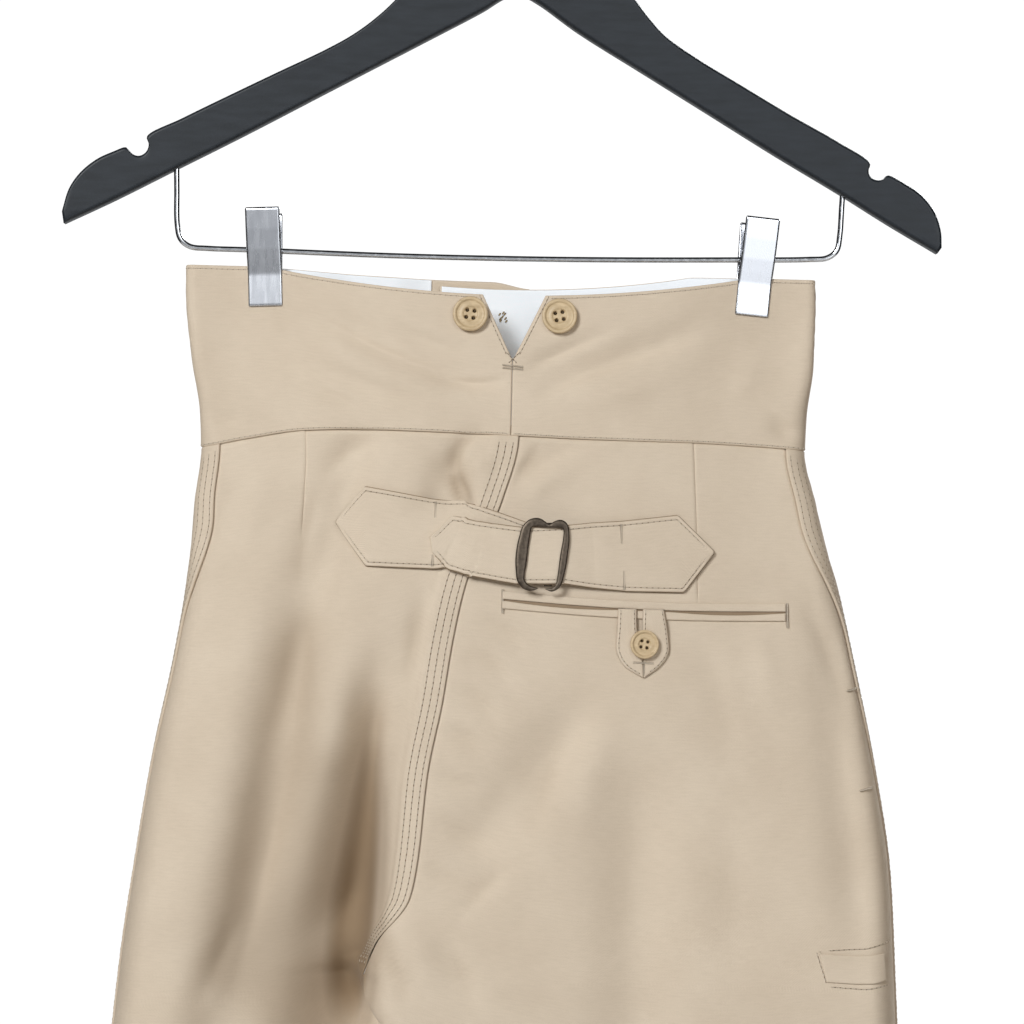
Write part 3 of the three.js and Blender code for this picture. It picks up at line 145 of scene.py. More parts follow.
CREASES = [  # face, three points (x, depth) on the arc, push inwards, half width, skew
    ("back", (-3, 80), (-22, 91), (-17, 119), 3.9, 3.8, 0.3),
    ("back", (-3, 92), (-11, 98), (-11, 112), -2.4, 4.2, 0.0),
    ("back", (-23, 100), (-19, 110), (-15, 123), 6.0, 3.8, 0.2),
    ("back", (20, 84), (12, 96), (4, 112), 2.0, 4.0, -0.3),
    ("back", (14, 106), (24, 92), (44, 88), 1.7, 4.5, -0.3),
    ("back", (10, 118), (22, 104), (38, 100), -1.4, 5.0, 0.0),
    ("back", (-52, 84), (-76, 90), (-92, 112), 2.6, 6.5, 0.3),
    ("back", (-50, 96), (-66, 104), (-72, 128), -2.0, 7.0, 0.0),
    ("back", (-88, 104), (-97, 130), (-100, 164), 2.4, 7.0, 0.3),
    ("back", (-132, 108), (-144, 138), (-156, 172), 1.7, 6.0, -0.3),
    ("back", (-116, 96), (-122, 120), (-132, 150), -1.4, 7.0, 0.0),
    ("back", (-36, 154), (-41, 184), (-47, 222), 3.0, 5.0, 0.2),
    ("back", (-12, 172), (4, 178), (14, 192), 1.8, 3.5, 0.3),
    ("back", (-18, 188), (-2, 194), (10, 208), 2.0, 3.5, 0.3),
    ("back", (-24, 206), (-8, 212), (4, 226), 2.2, 3.8, 0.3),
    ("back", (-28, 224), (-14, 230), (-2, 243), 2.0, 3.8, 0.3),
    ("back", (-32, 246), (-18, 252), (-4, 258), 2.0, 4.0, 0.2),
    ("back", (-33, 268), (-14, 278), (6, 284), 1.8, 4.2, 0.2),
    ("back", (-34, 292), (-22, 300), (-4, 306), 2.0, 4.2, 0.2),
    ("back", (-58, 206), (-62, 240), (-64, 292), 5.0, 7.0, 0.3),
    ("back", (-60, 232), (-66, 336), (-78, 452), 18.0, 21.0, 0.6),
    ("back", (-92, 160), (-99, 204), (-101, 244), 3.0, 7.0, 0.2),
    ("back", (-100, 232), (-112, 290), (-130, 366), 3.0, 7.0, 0.3),
    ("back", (-92, 140), (-112, 262), (-138, 400), 5.5, 20.0, -0.3),
    ("back", (-126, 320), (-134, 342), (-148, 372), 2.2, 6.0, 0.2),
    ("back", (-54, 318), (-47, 344), (-36, 366), 3.0, 4.5, 0.3),
    ("back", (-44, 316), (-34, 338), (-22, 356), -2.2, 6.0, 0.0),
    ("back", (-30, 330), (-14, 346), (-6, 370), 2.5, 6.0, 0.2),
    ("back", (44, 214), (26, 250), (14, 296), 2.2, 8.0, 0.2),
    ("back", (14, 290), (-4, 304), (-18, 326), 2.2, 6.0, 0.2),
    ("back", (58, 206), (48, 240), (40, 284), -1.4, 8.0, 0.0),
    ("back", (96, 176), (110, 210), (116, 260), 1.0, 8.0, 0.2),
    ("back", (124, 168), (132, 190), (136, 224), -1.0, 7.0, 0.0),
    ("back", (112, 260), (118, 300), (116, 360), 1.1, 9.0, 0.0),
    ("back", (146, 156), (166, 190), (177, 240), 2.1, 6.0, -0.2),
    ("back", (-146, 250), (-158, 300), (-164, 360), -1.4, 8.0, 0.0),
    ("back", (-110, 14), (-62, 41), (-12, 56), 2.7, 4.0, 0.4),
    ("back", (-42, 50), (-19, 56.5), (4, 52), 2.5, 3.0, 0.3),
    ("back", (-106, 60), (-84, 64), (-66, 76), 2.0, 3.6, 0.3),
    ("back", (-90, 40), (-64, 54), (-30, 62), -1.3, 5.0, 0.0),
    ("back", (8, 50), (28, 40), (62, 24), 2.5, 3.8, -0.3),
    ("back", (14, 63), (40, 51), (98, 29), 2.1, 4.0, -0.3),
    ("back", (20, 66), (56, 60), (92, 48), -1.0, 5.0, 0.0),
    ("back", (-62, 24), (-36, 36), (-14, 40), 1.4, 4.0, 0.2),
    ("back", (132, 66), (140, 76), (150, 72), 2.5, 5.0, 0.0),
    ("back", (110, 60), (122, 48), (126, 30), -1.3, 6.0, 0.0),
    ("back", (-150, 70), (-140, 78), (-128, 76), 1.7, 5.0, 0.0),
    ("front", (-60, 30), (-30, 46), (0, 52), 1.3, 5.0, 0.3),
    ("front", (60, 30), (36, 48), (14, 56), 1.3, 5.0, 0.3),
    ("front", (-20, 300), (-6, 280), (20, 268), 2.2, 6.0, 0.2),
    ("front", (-50, 296), (-70, 276), (-98, 268), 2.2, 6.0, 0.2),
    ("front", (-70, 330), (-90, 306), (-118, 296), 1.7, 6.0, 0.2),
    ("front", (10, 330), (36, 300), (64, 290), 1.7, 6.0, 0.2)]
ARC_STEPS = 9


def grip(clip, x, h):
    """Share of a point held by a clip: 1 between the jaws, falling to 0 around them."""
    return (1 - ease(9, 44, np.abs(x - clip[0]))) * (1 - ease(20, 70, h))


def fold_push(face, x, h):
    """Sum of straight grooves: push times exp(-(across / width)^2), faded out at both ends."""
    total = np.zeros(np.broadcast(x, h).shape)
    for where, x0, h0, x1, h1, push, width in FOLDS:
        if where != face:
            continue
        dx, dh = x1 - x0, h1 - h0
        length = math.hypot(dx, dh)
        along = ((x - x0) * dx + (h - h0) * dh) / length
        across = ((x - x0) * dh - (h - h0) * dx) / length
        fade = min(length * 0.45, 60) * 0.5
        ends = ease(-fade, fade, along) * (1 - ease(length - fade, length + fade, along))
        total = total - SIGN[face] * push * ends * np.exp(-((across / width) ** 2))
    return total


def crease_push(face, x, d):
    """Sum of arcs: a parabola through three points, its nearest distance q in half widths, and a
    groove push * exp(-q^2) that is narrower on the skewed side and dies out towards both ends."""
    total = np.zeros(np.broadcast(x, d).shape)
    t = np.linspace(0, 1, ARC_STEPS + 1)
    for where, start, middle, end, push, width, skew in CREASES:
        if where != face:
            continue
        a, m, b = np.array(start, float), np.array(middle, float), np.array(end, float)
        bend = 2 * m - (a + b) / 2
        arc = np.outer((1 - t) ** 2, a) + np.outer(2 * t * (1 - t), bend) + np.outer(t * t, b)
        best, share, turn = np.full(total.shape, 1e9), np.zeros(total.shape), np.ones(total.shape)
        for k in range(ARC_STEPS):
            (px, pd), (qx, qd) = arc[k], arc[k + 1]
            sx, sd = qx - px, qd - pd
            w = ((x - px) * sx + (d - pd) * sd) / (sx * sx + sd * sd)
            inside = np.clip(w, 0, 1)
            gap = np.hypot(x - px - inside * sx, d - pd - inside * sd)
            nearer = gap < best
            best = np.where(nearer, gap, best)
            share = np.where(nearer, (k + inside) / ARC_STEPS, share)
            turn = np.where(nearer, np.sign((x - px) * sd - (d - pd) * sx), turn)
        ends = np.abs(np.sin(np.pi * np.clip(share, 0.0, 1.0))) ** 1.3
        q = best / (width * (1 - skew * turn))
        total = total - SIGN[face] * push * ends * np.exp(-q * q)
    return total


print(len(FOLDS), "folds and", len(CREASES), "creases")

# %% [markdown]
# ## The surface of a leg
# At each depth the cloth is a ring of two faces that meet at the side fold. The torso part narrows to
# the crotch, where the seat seam turns under as a quarter ellipse; below it each leg closes round its
# own inside fold. The back face never comes nearer than a hand's thickness to the front face.


# %% Surface functions
def crotch_round(h):
    """1 above the round of the crotch seam, then a quarter ellipse down to 0 at the crotch."""
    t = np.clip((h - CROTCH_H + CROTCH_DROP) / CROTCH_DROP, 0, 1)
    return np.sqrt(1 - t * t)


def seam_y(face, h):
    """y of the seat seam or of the fly seam."""
    return CROTCH_Y + (SIGN[face] * depth[face](h) - CROTCH_Y) * crotch_round(h)


def leg_scale(h):
    """The legs grow shallower towards the hem."""
    return mix(1, 0.62, ease(560, HEM_H, h))


def face_end(side, face, h):
    """y of a face next to its seam: one face of a leg follows the seam inwards, the other keeps out."""
    follows = (side == "left") == (face == "back")
    wall = SIGN[face] * depth[face](h)
    near = CROTCH_Y + SIGN[face] * np.maximum(5, np.abs(seam_y(face, h) - CROTCH_Y))
    kept = near if follows else wall
    return mix(kept, LEG_FACES[side, face][1] * leg_scale(h), ease(CROTCH_H, CROTCH_H + 24, h))


def open_face_y(side, face, x, h, start, end):
    """y of a face: torso depth above, leg depth below, the seam's own depth near the seam, the broad
    folds, then the pinch of the clips and the lap of the band's front ends."""
    s = SIGN[face]
    calm = sum(inside_end(side, face, h + shift) for shift in (-20, -10, 0, 10, 20)) / 5
    calm = mix(end, calm, ease(296, 326, h))
    u = np.clip((x - start) / (calm - start), 0, 1)
    torso = s * mix(depth["side"](h), depth[face](h), ease(0, 0.75, u))
    out, inside = LEG_FACES[side, face]
    leg = mix(out, inside, ease(0.35, 0.8, u)) * leg_scale(h)
    y = mix(torso, leg, ease(190, 400, h))
    y = mix(y, face_end(side, face, h), np.exp(-(((x - end) / 24) ** 2)))
    y = y + fold_push(face, x, h)
    for clip in CLIPS.values():
        held = s * CLIP_HALF + math.tan(math.radians(clip[3])) * (x - clip[0])
        y = mix(y, held, grip(clip, x, h))
    if side == "left" and face == "front":
        across = ease(OVERLAP["right"] - OVERLAP["ramp"], OVERLAP["right"] - 4, x)
        y = y + OVERLAP["lift"] * across * (1 - ease(BAND_H + 20, 260, h))
    return y


def sag(side, face, x, h):
    """Drop below the nominal depth: the band's seam line, and its top sagging between the clips."""
    seam = band_seam(x) - BAND_H
    t = (x - 0.5) / 121
    narrow = 0.75 if (side, face) == ("right", "front") else 1
    top = BAND_SAG[side, face] * np.maximum(0, 1 - (t / narrow) ** 2)
    if (side, face) == ("left", "front"):
        top = top + 3.2 * ease(-8, 12, x)
    return np.where(h > BAND_H, seam * (1 - ease(BAND_H, 260, h)), mix(top, seam, h / BAND_H))


def face_y(side, face, x, h, start, end):
    """The open face, kept clear of the other face, with the small creases on top."""
    y = open_face_y(side, face, x, h, start, end)
    if face == "back":
        front = open_face_y(side, "front", x, h, start, end)
        room = front - y
        limited = front - LEAST_ROOM - np.where(room > 0, room**2 / (4 * LEAST_ROOM), 0)
        y = np.where((h >= BAND_H) & (room < 2 * LEAST_ROOM), limited, y)
    held = sum(grip(clip, x, h) for clip in CLIPS.values())
    return y + crease_push(face, x, h + sag(side, face, x, h)) * (1 - np.clip(held, 0, 1))


def inside_end(side, face, h):
    """x at which a face ends: the seat or fly seam above the crotch, the inside fold below it."""
    seam = seat_x(h) if face == "back" else fly_x(h)
    return np.where(h >= CROTCH_H, inside_x[side](h), seam)


TURNS, STEPS = 12, 190


def face_line(side, face, h, end):
    """One face at every depth as a dense line: a quarter turn at the side fold, a run across, and a
    quarter turn round the inside fold. Returns x and y, each rows by samples."""
    out = SIGN[side]
    h, end = h[:, None], end[:, None]
    start, reach = side_x[side](h), depth["fold"](h)
    end_y = face_y(side, face, end, h, start, end)
    middle = np.where(h <= CROTCH_H, CROTCH_Y, inside_y[side](h))
    closing = np.clip((seam_y(face, h) - middle) / (end_y - middle), 0, 1)
    closing = np.where(h < CROTCH_H - CROTCH_DROP, 1, closing)
    angle = np.where(h >= CROTCH_H, 0, np.arcsin(closing))
    cap = end + out * INSIDE_FOLD * np.cos(angle)
    a = np.linspace(0, np.pi / 2, TURNS, endpoint=False)[None]
    x1 = start - out * reach * (1 - np.cos(a))
    y1 = face_y(side, face, x1, h, start, end) * np.sin(a)
    x2 = mix(start - out * reach, cap, np.linspace(0, 1, STEPS)[None])
    y2 = face_y(side, face, x2, h, start, end)
    b = mix(np.pi / 2, angle, np.linspace(0, 1, TURNS + 1)[None, 1:])
    x3 = cap - out * INSIDE_FOLD * np.cos(b)
    y3 = middle + (face_y(side, face, x3, h, start, end) - middle) * np.sin(b)
    return np.concatenate([x1, x2, x3], 1), np.concatenate([y1, y2, y3], 1)


def placed(side, face, x, y, h):
    """Points in space from a place on a face."""
    return np.stack([x, y, WAIST_Z - h - sag(side, face, x, h)], -1)


def ring(side, h, back_end, front_end):
    """The ring of a leg at every depth, from the back's inside end round the side to the front's.
    Returns points (rows, samples, 3), their running length, and the length at the side fold."""
    xb, yb = face_line(side, "back", h, back_end)
    xf, yf = face_line(side, "front", h, front_end)
    back = placed(side, "back", xb, yb, h[:, None])[:, ::-1]
    front = placed(side, "front", xf, yf, h[:, None])[:, 1:]
    line = np.concatenate([back, front], 1)
    run = np.concatenate([np.zeros((len(h), 1)),
                          np.cumsum(np.linalg.norm(np.diff(line, axis=1), axis=2), 1)], 1)
    return line, run, back.shape[1] - 1


def cut(line, run, at):
    """Points of every row at the running lengths `at` (rows by columns), straight between samples."""
    rows = [[np.interp(a, r, p[:, k]) for k in range(3)] for p, r, a in zip(line, run, at)]
    return np.array(rows).transpose(0, 2, 1)


def run_at_x(line, run, last, x):
    """Running length at which each row first passes x, among its first `last` samples."""
    values = [np.interp(-v * s, -p[: last + 1, 0] * s, r[: last + 1])
              for p, r, v, s in zip(line, run, x, np.sign(line[:, 0, 0] - line[:, last, 0]))]
    return np.array(values)


print("surface ready")

# %% [markdown]
# ## Shells of cloth
# A cut panel is a grid of points. Its outer layer is the grid moved out along the normals and its
# inner layer is the grid moved in; towards every edge both layers close in a half ellipse, which is
# how a folded or felled edge looks. Both layers share the border points, so the shell is closed.


# %% Mesh helpers
def new_mesh(name, points, faces, uv, material):
    """Smooth object from points in millimetres, a list of index arrays and a uv pair for each point."""
    mesh = bpy.data.meshes.new(name)
    mesh.from_pydata(points * 0.001, [], [f for block in faces for f in block.tolist()])
    layer = mesh.uv_layers.new(name="cloth")
    corner = np.empty(len(mesh.loops), int)
    mesh.loops.foreach_get("vertex_index", corner)
    layer.data.foreach_set("uv", uv[corner].astype(np.float32).ravel())
    mesh.polygons.foreach_set("use_smooth", np.ones(len(mesh.polygons), bool))
    mesh.update()
    mesh.materials.append(material)
    made = bpy.data.objects.new(name, mesh)
    bpy.context.scene.collection.objects.link(made)
    return made


def unit(v):
    """Vectors of length one."""
    return v / np.maximum(np.linalg.norm(v, axis=-1, keepdims=True), 1e-12)


def run_along(points):
    """Running length of a chain of points, from 0 at its first."""
    return np.concatenate([[0], np.cumsum(np.linalg.norm(np.diff(points, axis=0), axis=1))])


def grid_normals(points, facing):
    """Cross product of the directions along the rows and down the columns."""
    return unit(np.cross(np.gradient(points, axis=1), np.gradient(points, axis=0))) * facing


def border_distance(points):
    """Distance of each grid point from the nearest border, along its row or its column."""
    across = np.linalg.norm(np.diff(points, axis=1), axis=2)
    down = np.linalg.norm(np.diff(points, axis=0), axis=2)
    u = np.concatenate([np.zeros((len(points), 1)), np.cumsum(across, 1)], 1)
    v = np.concatenate([np.zeros((1, points.shape[1])), np.cumsum(down, 0)], 0)
    return np.minimum(np.minimum(u, u[:, -1:] - u), np.minimum(v, v[-1:] - v)), u, v


def grid_faces(index, facing):
    """Quads of a grid of point numbers."""
    a, b, c, d = index[:-1, :-1], index[:-1, 1:], index[1:, 1:], index[1:, :-1]
    quads = np.stack([a, b, c, d], -1).reshape(-1, 4)
    return quads if facing > 0 else quads[:, ::-1]


def shell(name, points, outer, inner, facing, material, edge=0.8, normals=None):
    """Closed thin shell round a grid: outer layer at +outer, inner layer at -inner along the normals,
    both times sqrt(1 - (1 - q)^2) where q is the distance from the border over the edge's radius."""
    rows, columns = points.shape[:2]
    normals = grid_normals(points, facing) if normals is None else normals
    near, u, v = border_distance(points)
    q = np.clip(near / edge, 0, 1)
    full = np.sqrt(1 - (1 - q) ** 2)
    outer, inner = np.broadcast_to(outer, q.shape), np.broadcast_to(inner, q.shape)
    centre = (outer - inner) / 2
    half = (outer + inner) / 2
    top = points + normals * (centre + half * full)[..., None]
    low = points + normals * (centre - half * full)[..., None]
    first = np.arange(rows * columns).reshape(rows, columns)
    second = first.copy()
    second[1:-1, 1:-1] = rows * columns + np.arange((rows - 2) * (columns - 2)).reshape(rows - 2, -1)
    every = np.concatenate([top.reshape(-1, 3), low[1:-1, 1:-1].reshape(-1, 3)])
    uv = np.stack([u - u[:, -1:] / 2, -v], -1) * 0.001
    uv = np.concatenate([uv.reshape(-1, 2), uv[1:-1, 1:-1].reshape(-1, 2)])
    made = new_mesh(name, every, [grid_faces(first, facing), grid_faces(second, -facing)], uv, material)
    return made, top, normals


EDGE_FINE = np.array([0, 0.1, 0.3, 0.6, 1.0, 1.6])


def columns_between(start, stop, count):
    """Running lengths for each row: fine steps in millimetres next to an edge, even steps between."""
    head, tail = EDGE_FINE, EDGE_FINE[::-1]
    even = np.linspace(0, 1, count + 2)[1:-1][None]
    inner = mix((start + head[-1])[:, None], (stop - tail[0])[:, None], even)
    return np.concatenate([start[:, None] + head, inner, stop[:, None] - tail], 1)


def shade_folds(made, face):
    """Writes fold_shade on every point, the share of painted shade in its colour: how deep it lies in a
    fold, 0 on the open cloth and 1 at the bottom of the deepest one, with a faint share in the small creases."""
    place = np.empty(len(made.data.vertices) * 3)
    made.data.vertices.foreach_get("co", place)
    x, _, z = place.reshape(-1, 3).T * 1000
    small = -SIGN[face] * crease_push(face, x, WAIST_Z - z)
    inward = small - SIGN[face] * fold_push(face, x, WAIST_Z - z)
    painted_shade_share = np.maximum(ease(8, 27, inward), 0.32 * ease(0.8, 4.5, small))
    layer = made.data.attributes.new("fold_shade", "FLOAT", "POINT")
    layer.data.foreach_set("value", painted_shade_share.astype(np.float32))


def finished(made, node_name, slot_name):
    """The piece stands for a node of the frame: it is attached to the root and the node is hidden. slot_name
    is not used.
    """
    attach(made, "root")
    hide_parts(node_name)
    print(made.name, len(made.data.polygons), "faces")


def cloth_sheet(made, top):
    """Works out a cloth piece's cut, the running lengths along the rows and columns of its outer layer and
    its area; nothing is done with them.
    """
    _, u, v = border_distance(top)
    a, b = top[1:, 1:] - top[:-1, :-1], top[1:, :-1] - top[:-1, 1:]
    area = float(np.linalg.norm(np.cross(a, b), axis=2).sum()) / 2e6


print("mesh helpers ready")

# %% [markdown]
# ## Materials
# Cotton drill is a twill: its yarns cross in steps that show as fine diagonal ribs, and its washed
# surface is matt with a little fuzz that catches light at the edges. Its colour is darkened in the
# deep folds by painted shade. The lining is smooth bleached cotton with a faint glow of painted light.
# Buttons are satin corozo, the buckle is oiled bronze, the hanger is satin black lacquer and the wire
# parts are chromed. Shared patterns are node groups that only output masks and heights.


# %% Node groups
def node(tree, kind, inputs=None, **settings):
    """A node with some of its values set; an input given as a socket is linked."""
    made = tree.nodes.new(kind)
    for key, value in settings.items():
        setattr(made, key, value)
    for key, value in (inputs or {}).items():
        if isinstance(value, bpy.types.NodeSocket):
            tree.links.new(value, made.inputs[key])
        else:
            made.inputs[key].default_value = value
    return made


def new_group(name, inputs, outputs):
    """An empty node group with float and vector sockets."""
    kinds = {"f": "NodeSocketFloat", "v": "NodeSocketVector"}
    tree = bpy.data.node_groups.new(name, "ShaderNodeTree")
    for label, kind, value in inputs:
        socket = tree.interface.new_socket(label, in_out="INPUT", socket_type=kinds[kind])
        if value is not None:
            socket.default_value = value
    for label, kind in outputs:
        tree.interface.new_socket(label, in_out="OUTPUT", socket_type=kinds[kind])
    return tree, tree.nodes.new("NodeGroupInput").outputs, tree.nodes.new("NodeGroupOutput").inputs


# Twill: diagonal ribs, broken by the yarns' unevenness, with a soft mottle of the dye
twill_tree, g_in, g_out = new_group(
    "twill_weave",
    [("Vector", "v", None), ("Ribs", "f", 900.0), ("Slub", "f", 0.5)],
    [("Height", "f"), ("Mottle", "f"), ("Fibre", "f")])
ribs = node(twill_tree, "ShaderNodeTexWave", {"Vector": g_in["Vector"], "Scale": g_in["Ribs"],
            "Distortion": 1.2, "Detail": 2.0, "Detail Scale": 1.5}, bands_direction="DIAGONAL")
fibre = node(twill_tree, "ShaderNodeTexNoise", {"Vector": g_in["Vector"], "Scale": 1500.0, "Detail": 3.0})
stretched = node(twill_tree, "ShaderNodeMapping", {"Vector": g_in["Vector"], "Scale": (140.0, 1100.0, 1.0)})
slub = node(twill_tree, "ShaderNodeTexNoise", {"Vector": stretched.outputs[0], "Scale": 1.0, "Detail": 2.0})
patch = node(twill_tree, "ShaderNodeTexNoise", {"Vector": g_in["Vector"], "Scale": 22.0, "Detail": 4.0})
rib_part = node(twill_tree, "ShaderNodeMath", {0: ribs.outputs["Fac"], 1: 0.45}, operation="MULTIPLY")
slub_part = node(twill_tree, "ShaderNodeMath", {0: slub.outputs["Fac"], 1: g_in["Slub"]},
                 operation="MULTIPLY")
fibre_part = node(twill_tree, "ShaderNodeMath", {0: fibre.outputs["Fac"], 1: 0.5, 2: slub_part.outputs[0]},
                  operation="MULTIPLY_ADD")
height = node(twill_tree, "ShaderNodeMath", {0: rib_part.outputs[0], 1: fibre_part.outputs[0]},
              operation="ADD")
twill_tree.links.new(height.outputs[0], g_out["Height"])
twill_tree.links.new(patch.outputs["Fac"], g_out["Mottle"])
twill_tree.links.new(fibre.outputs["Fac"], g_out["Fibre"])


def ramp(tree, fac, low, high, colours):
    """Colour between two tones as fac goes from low to high."""
    made = node(tree, "ShaderNodeMapRange", {"Value": fac, "From Min": low, "From Max": high})
    return node(tree, "ShaderNodeMix", {0: made.outputs[0], 6: colours[0], 7: colours[1]},
                data_type="RGBA").outputs[2]


def value_between(tree, fac, low, high):
    """Number between two values as fac goes from 0.3 to 0.7."""
    return node(tree, "ShaderNodeMapRange", {"Value": fac, "From Min": 0.3, "From Max": 0.7,
                                             "To Min": low, "To Max": high}).outputs[0]


def new_material(name, **constants):
    """A material with its Principled shader's own constants set."""
    made = bpy.data.materials.new(name)
    made.use_nodes = True
    tree = made.node_tree
    shader = tree.nodes["Principled BSDF"]
    for key, value in constants.items():
        shader.inputs[key].default_value = value
    return made, tree, shader


# Painted shade: the tone the cloth is drawn towards at the bottom of its deepest folds
PAINTED_FOLD_SHADE = (0.30, 0.215, 0.135, 1)


def cloth_material(name, dark, light, ribs_scale, slub_share, bump, sheen, rough=(0.82, 0.95), painted_glow=0.0):
    """Woven cotton: two tones mixed by the dye's mottle and drawn towards a painted shade tone where
    fold_shade says a point lies deep in a fold, fibres in the roughness, ribs in the bump. The glow is
    painted light: an emission of the cloth's own tones."""
    made, tree, shader = new_material(name, **{"Sheen Weight": sheen, "Sheen Roughness": 0.45,
                                               "Specular IOR Level": 0.25, "Emission Strength": painted_glow})
    where = node(tree, "ShaderNodeUVMap", uv_map="cloth")
    weave = node(tree, "ShaderNodeGroup", node_tree=twill_tree)
    tree.links.new(where.outputs[0], weave.inputs["Vector"])
    weave.inputs["Ribs"].default_value = ribs_scale
    weave.inputs["Slub"].default_value = slub_share
    broad = ramp(tree, weave.outputs["Mottle"], 0.3, 0.7, (dark, light))
    fine = ramp(tree, weave.outputs["Height"], 0.35, 1.0, ((0.9, 0.89, 0.87, 1), (1.05, 1.05, 1.05, 1)))
    tone = node(tree, "ShaderNodeMix", {0: 1.0, 6: broad, 7: fine}, data_type="RGBA", blend_type="MULTIPLY")
    fold = node(tree, "ShaderNodeAttribute", attribute_name="fold_shade")
    deep = node(tree, "ShaderNodeMix", {0: fold.outputs["Fac"], 6: tone.outputs[2], 7: PAINTED_FOLD_SHADE},
                data_type="RGBA", blend_type="MIX")
    tree.links.new(deep.outputs[2], shader.inputs["Base Color"])
    tree.links.new(tone.outputs[2], shader.inputs["Emission Color"])
    tree.links.new(value_between(tree, weave.outputs["Fibre"], *rough), shader.inputs["Roughness"])
    relief = node(tree, "ShaderNodeBump", {"Height": weave.outputs["Height"], "Strength": bump,
                                           "Distance": 0.0003})
    tree.links.new(relief.outputs[0], shader.inputs["Normal"])
    return made


drill = cloth_material("cotton_drill", (0.66, 0.56, 0.445, 1), (0.72, 0.62, 0.50, 1), 900.0, 0.55, 0.35, 0.12)
# The lining glows faintly: painted light, an emission of its own tones that brightens it in the band's shade
lining_cotton = cloth_material("bleached_lining", (0.84, 0.90, 0.985, 1), (0.89, 0.94, 1.0, 1),
                               1500.0, 0.3, 0.2, 0.08, painted_glow=0.16)
THREAD_TWIST = 2500.0
thread_material = cloth_material("sewing_thread", (0.66, 0.585, 0.48, 1), (0.78, 0.70, 0.60, 1),
                                 THREAD_TWIST, 0.2, 0.2, 0.1)
tan_thread = cloth_material("tan_thread", (0.40, 0.30, 0.16, 1), (0.52, 0.40, 0.23, 1),
                            THREAD_TWIST, 0.2, 0.2, 0.1)
# Painted shade: a dark cloth tone for the needle holes, the pocket slot and the shadow beside the straps'
# edges
shade_material = cloth_material("painted_dark_shade", (0.29, 0.215, 0.145, 1), (0.38, 0.29, 0.20, 1),
                               THREAD_TWIST, 0.2, 0.1, 0.0)
# Painted shade: a very dark tone for the beads at the bottom of the button holes
hole_shade_material = cloth_material("button_hole_shade", (0.07, 0.05, 0.03, 1), (0.11, 0.08, 0.05, 1),
                              THREAD_TWIST, 0.2, 0.1, 0.0)


def noise_on_object(tree, scale, detail=4.0, stretch=(1, 1, 1)):
    """Noise over the piece's own coordinates in metres."""
    where = node(tree, "ShaderNodeTexCoord")
    mapped = node(tree, "ShaderNodeMapping", {"Vector": where.outputs["Object"], "Scale": stretch})
    return node(tree, "ShaderNodeTexNoise", {"Vector": mapped.outputs[0], "Scale": scale,
                                             "Detail": detail}).outputs["Fac"]


def hard_material(name, tones, rough, noise, bump, metallic=0.0, **constants):
    """Wood, horn or metal: two tones, a roughness range and a fine bump from one noise."""
    made, tree, shader = new_material(name, **{"Metallic": metallic, **constants})
    fac = noise_on_object(tree, *noise)
    tree.links.new(ramp(tree, fac, 0.3, 0.7, tones), shader.inputs["Base Color"])
    tree.links.new(value_between(tree, fac, *rough), shader.inputs["Roughness"])
    relief = node(tree, "ShaderNodeBump", {"Height": fac, "Strength": bump, "Distance": 0.0002})
    tree.links.new(relief.outputs[0], shader.inputs["Normal"])
    return made


corozo = hard_material("corozo_button", ((0.50, 0.375, 0.22, 1), (0.64, 0.50, 0.31, 1)), (0.32, 0.5),
                       (260.0, 5.0, (1, 1, 3)), 0.15)
bronze = hard_material("antique_bronze", ((0.05, 0.038, 0.028, 1), (0.10, 0.078, 0.058, 1)), (0.3, 0.46),
                       (700.0, 4.0), 0.25, metallic=0.85)
black_wood = hard_material("black_lacquered_wood", ((0.0095, 0.0125, 0.0165, 1), (0.016, 0.0205, 0.027, 1)),
                           (0.38, 0.45), (60.0, 4.0, (1.0, 5.0, 5.0)), 0.04, **{"Specular IOR Level": 0.3})
chrome = hard_material("chrome_wire", ((0.52, 0.53, 0.55, 1), (0.66, 0.67, 0.69, 1)), (0.08, 0.2),
                       (500.0, 3.0), 0.03, metallic=1.0)
satin_chrome = hard_material("satin_chrome_clip", ((0.50, 0.51, 0.54, 1), (0.56, 0.57, 0.60, 1)), (0.24, 0.3),
                             (400.0, 3.0, (1, 1, 0.12)), 0.02, metallic=1.0)
print(len(bpy.data.materials), "materials")

# %% [markdown]
# ## Leg panels
# The seat seam is felled: the left back's edge is folded, laid over the right back and sewn down with
# three rows, so it stands up as a band 13 mm wide with a crisp edge. The fronts lie over the backs at
# the side seams in the same way. Each underlying panel runs on some millimetres below its neighbour,
# as a seam allowance does, so no light shows through a seam.

# %% Panels of both legs
FELL = 13.0
HIGH_ROWS = np.arange(76.0, 404.0, 2.4)
ROWS = np.concatenate([HIGH_ROWS, np.arange(HIGH_ROWS[-1] + 4, HEM_H - 30, 9.5),
                       [992, 994, 995, 996, 1004, 1012, 1018, 1019, 1019.6, HEM_H]])
CLOTH_IN = 0.85
LAP = 7.0
DARTS = {"left": ((76, -98.9), (98.3, -97.8), (134, -99.2)),
         "right": ((76, 93.6), (126.5, 96.4), (163, 97.6))}
DART_STEP = 0.55
UNDER_DROP = 1.3


def side_seam_angle(h):
    """Angle round the side fold at which the side seam lies, towards the back."""
    return np.radians(10 + 68 * (1 - ease(118, 178, h)) + 14 * (1 - ease(178, 300, h)))


def fell_height(distance, h, amount=0.9):
    """Extra height of a felled seam: full on its band, with a soft step at its far side and slight
    puckers between the stitches."""
    pucker = 0.08 * np.sin(h * 2 * np.pi / 9.2) * np.sin(distance * 0.9)
    return (amount + pucker) * (1 - ease(FELL - 0.8, FELL + 0.8, distance))


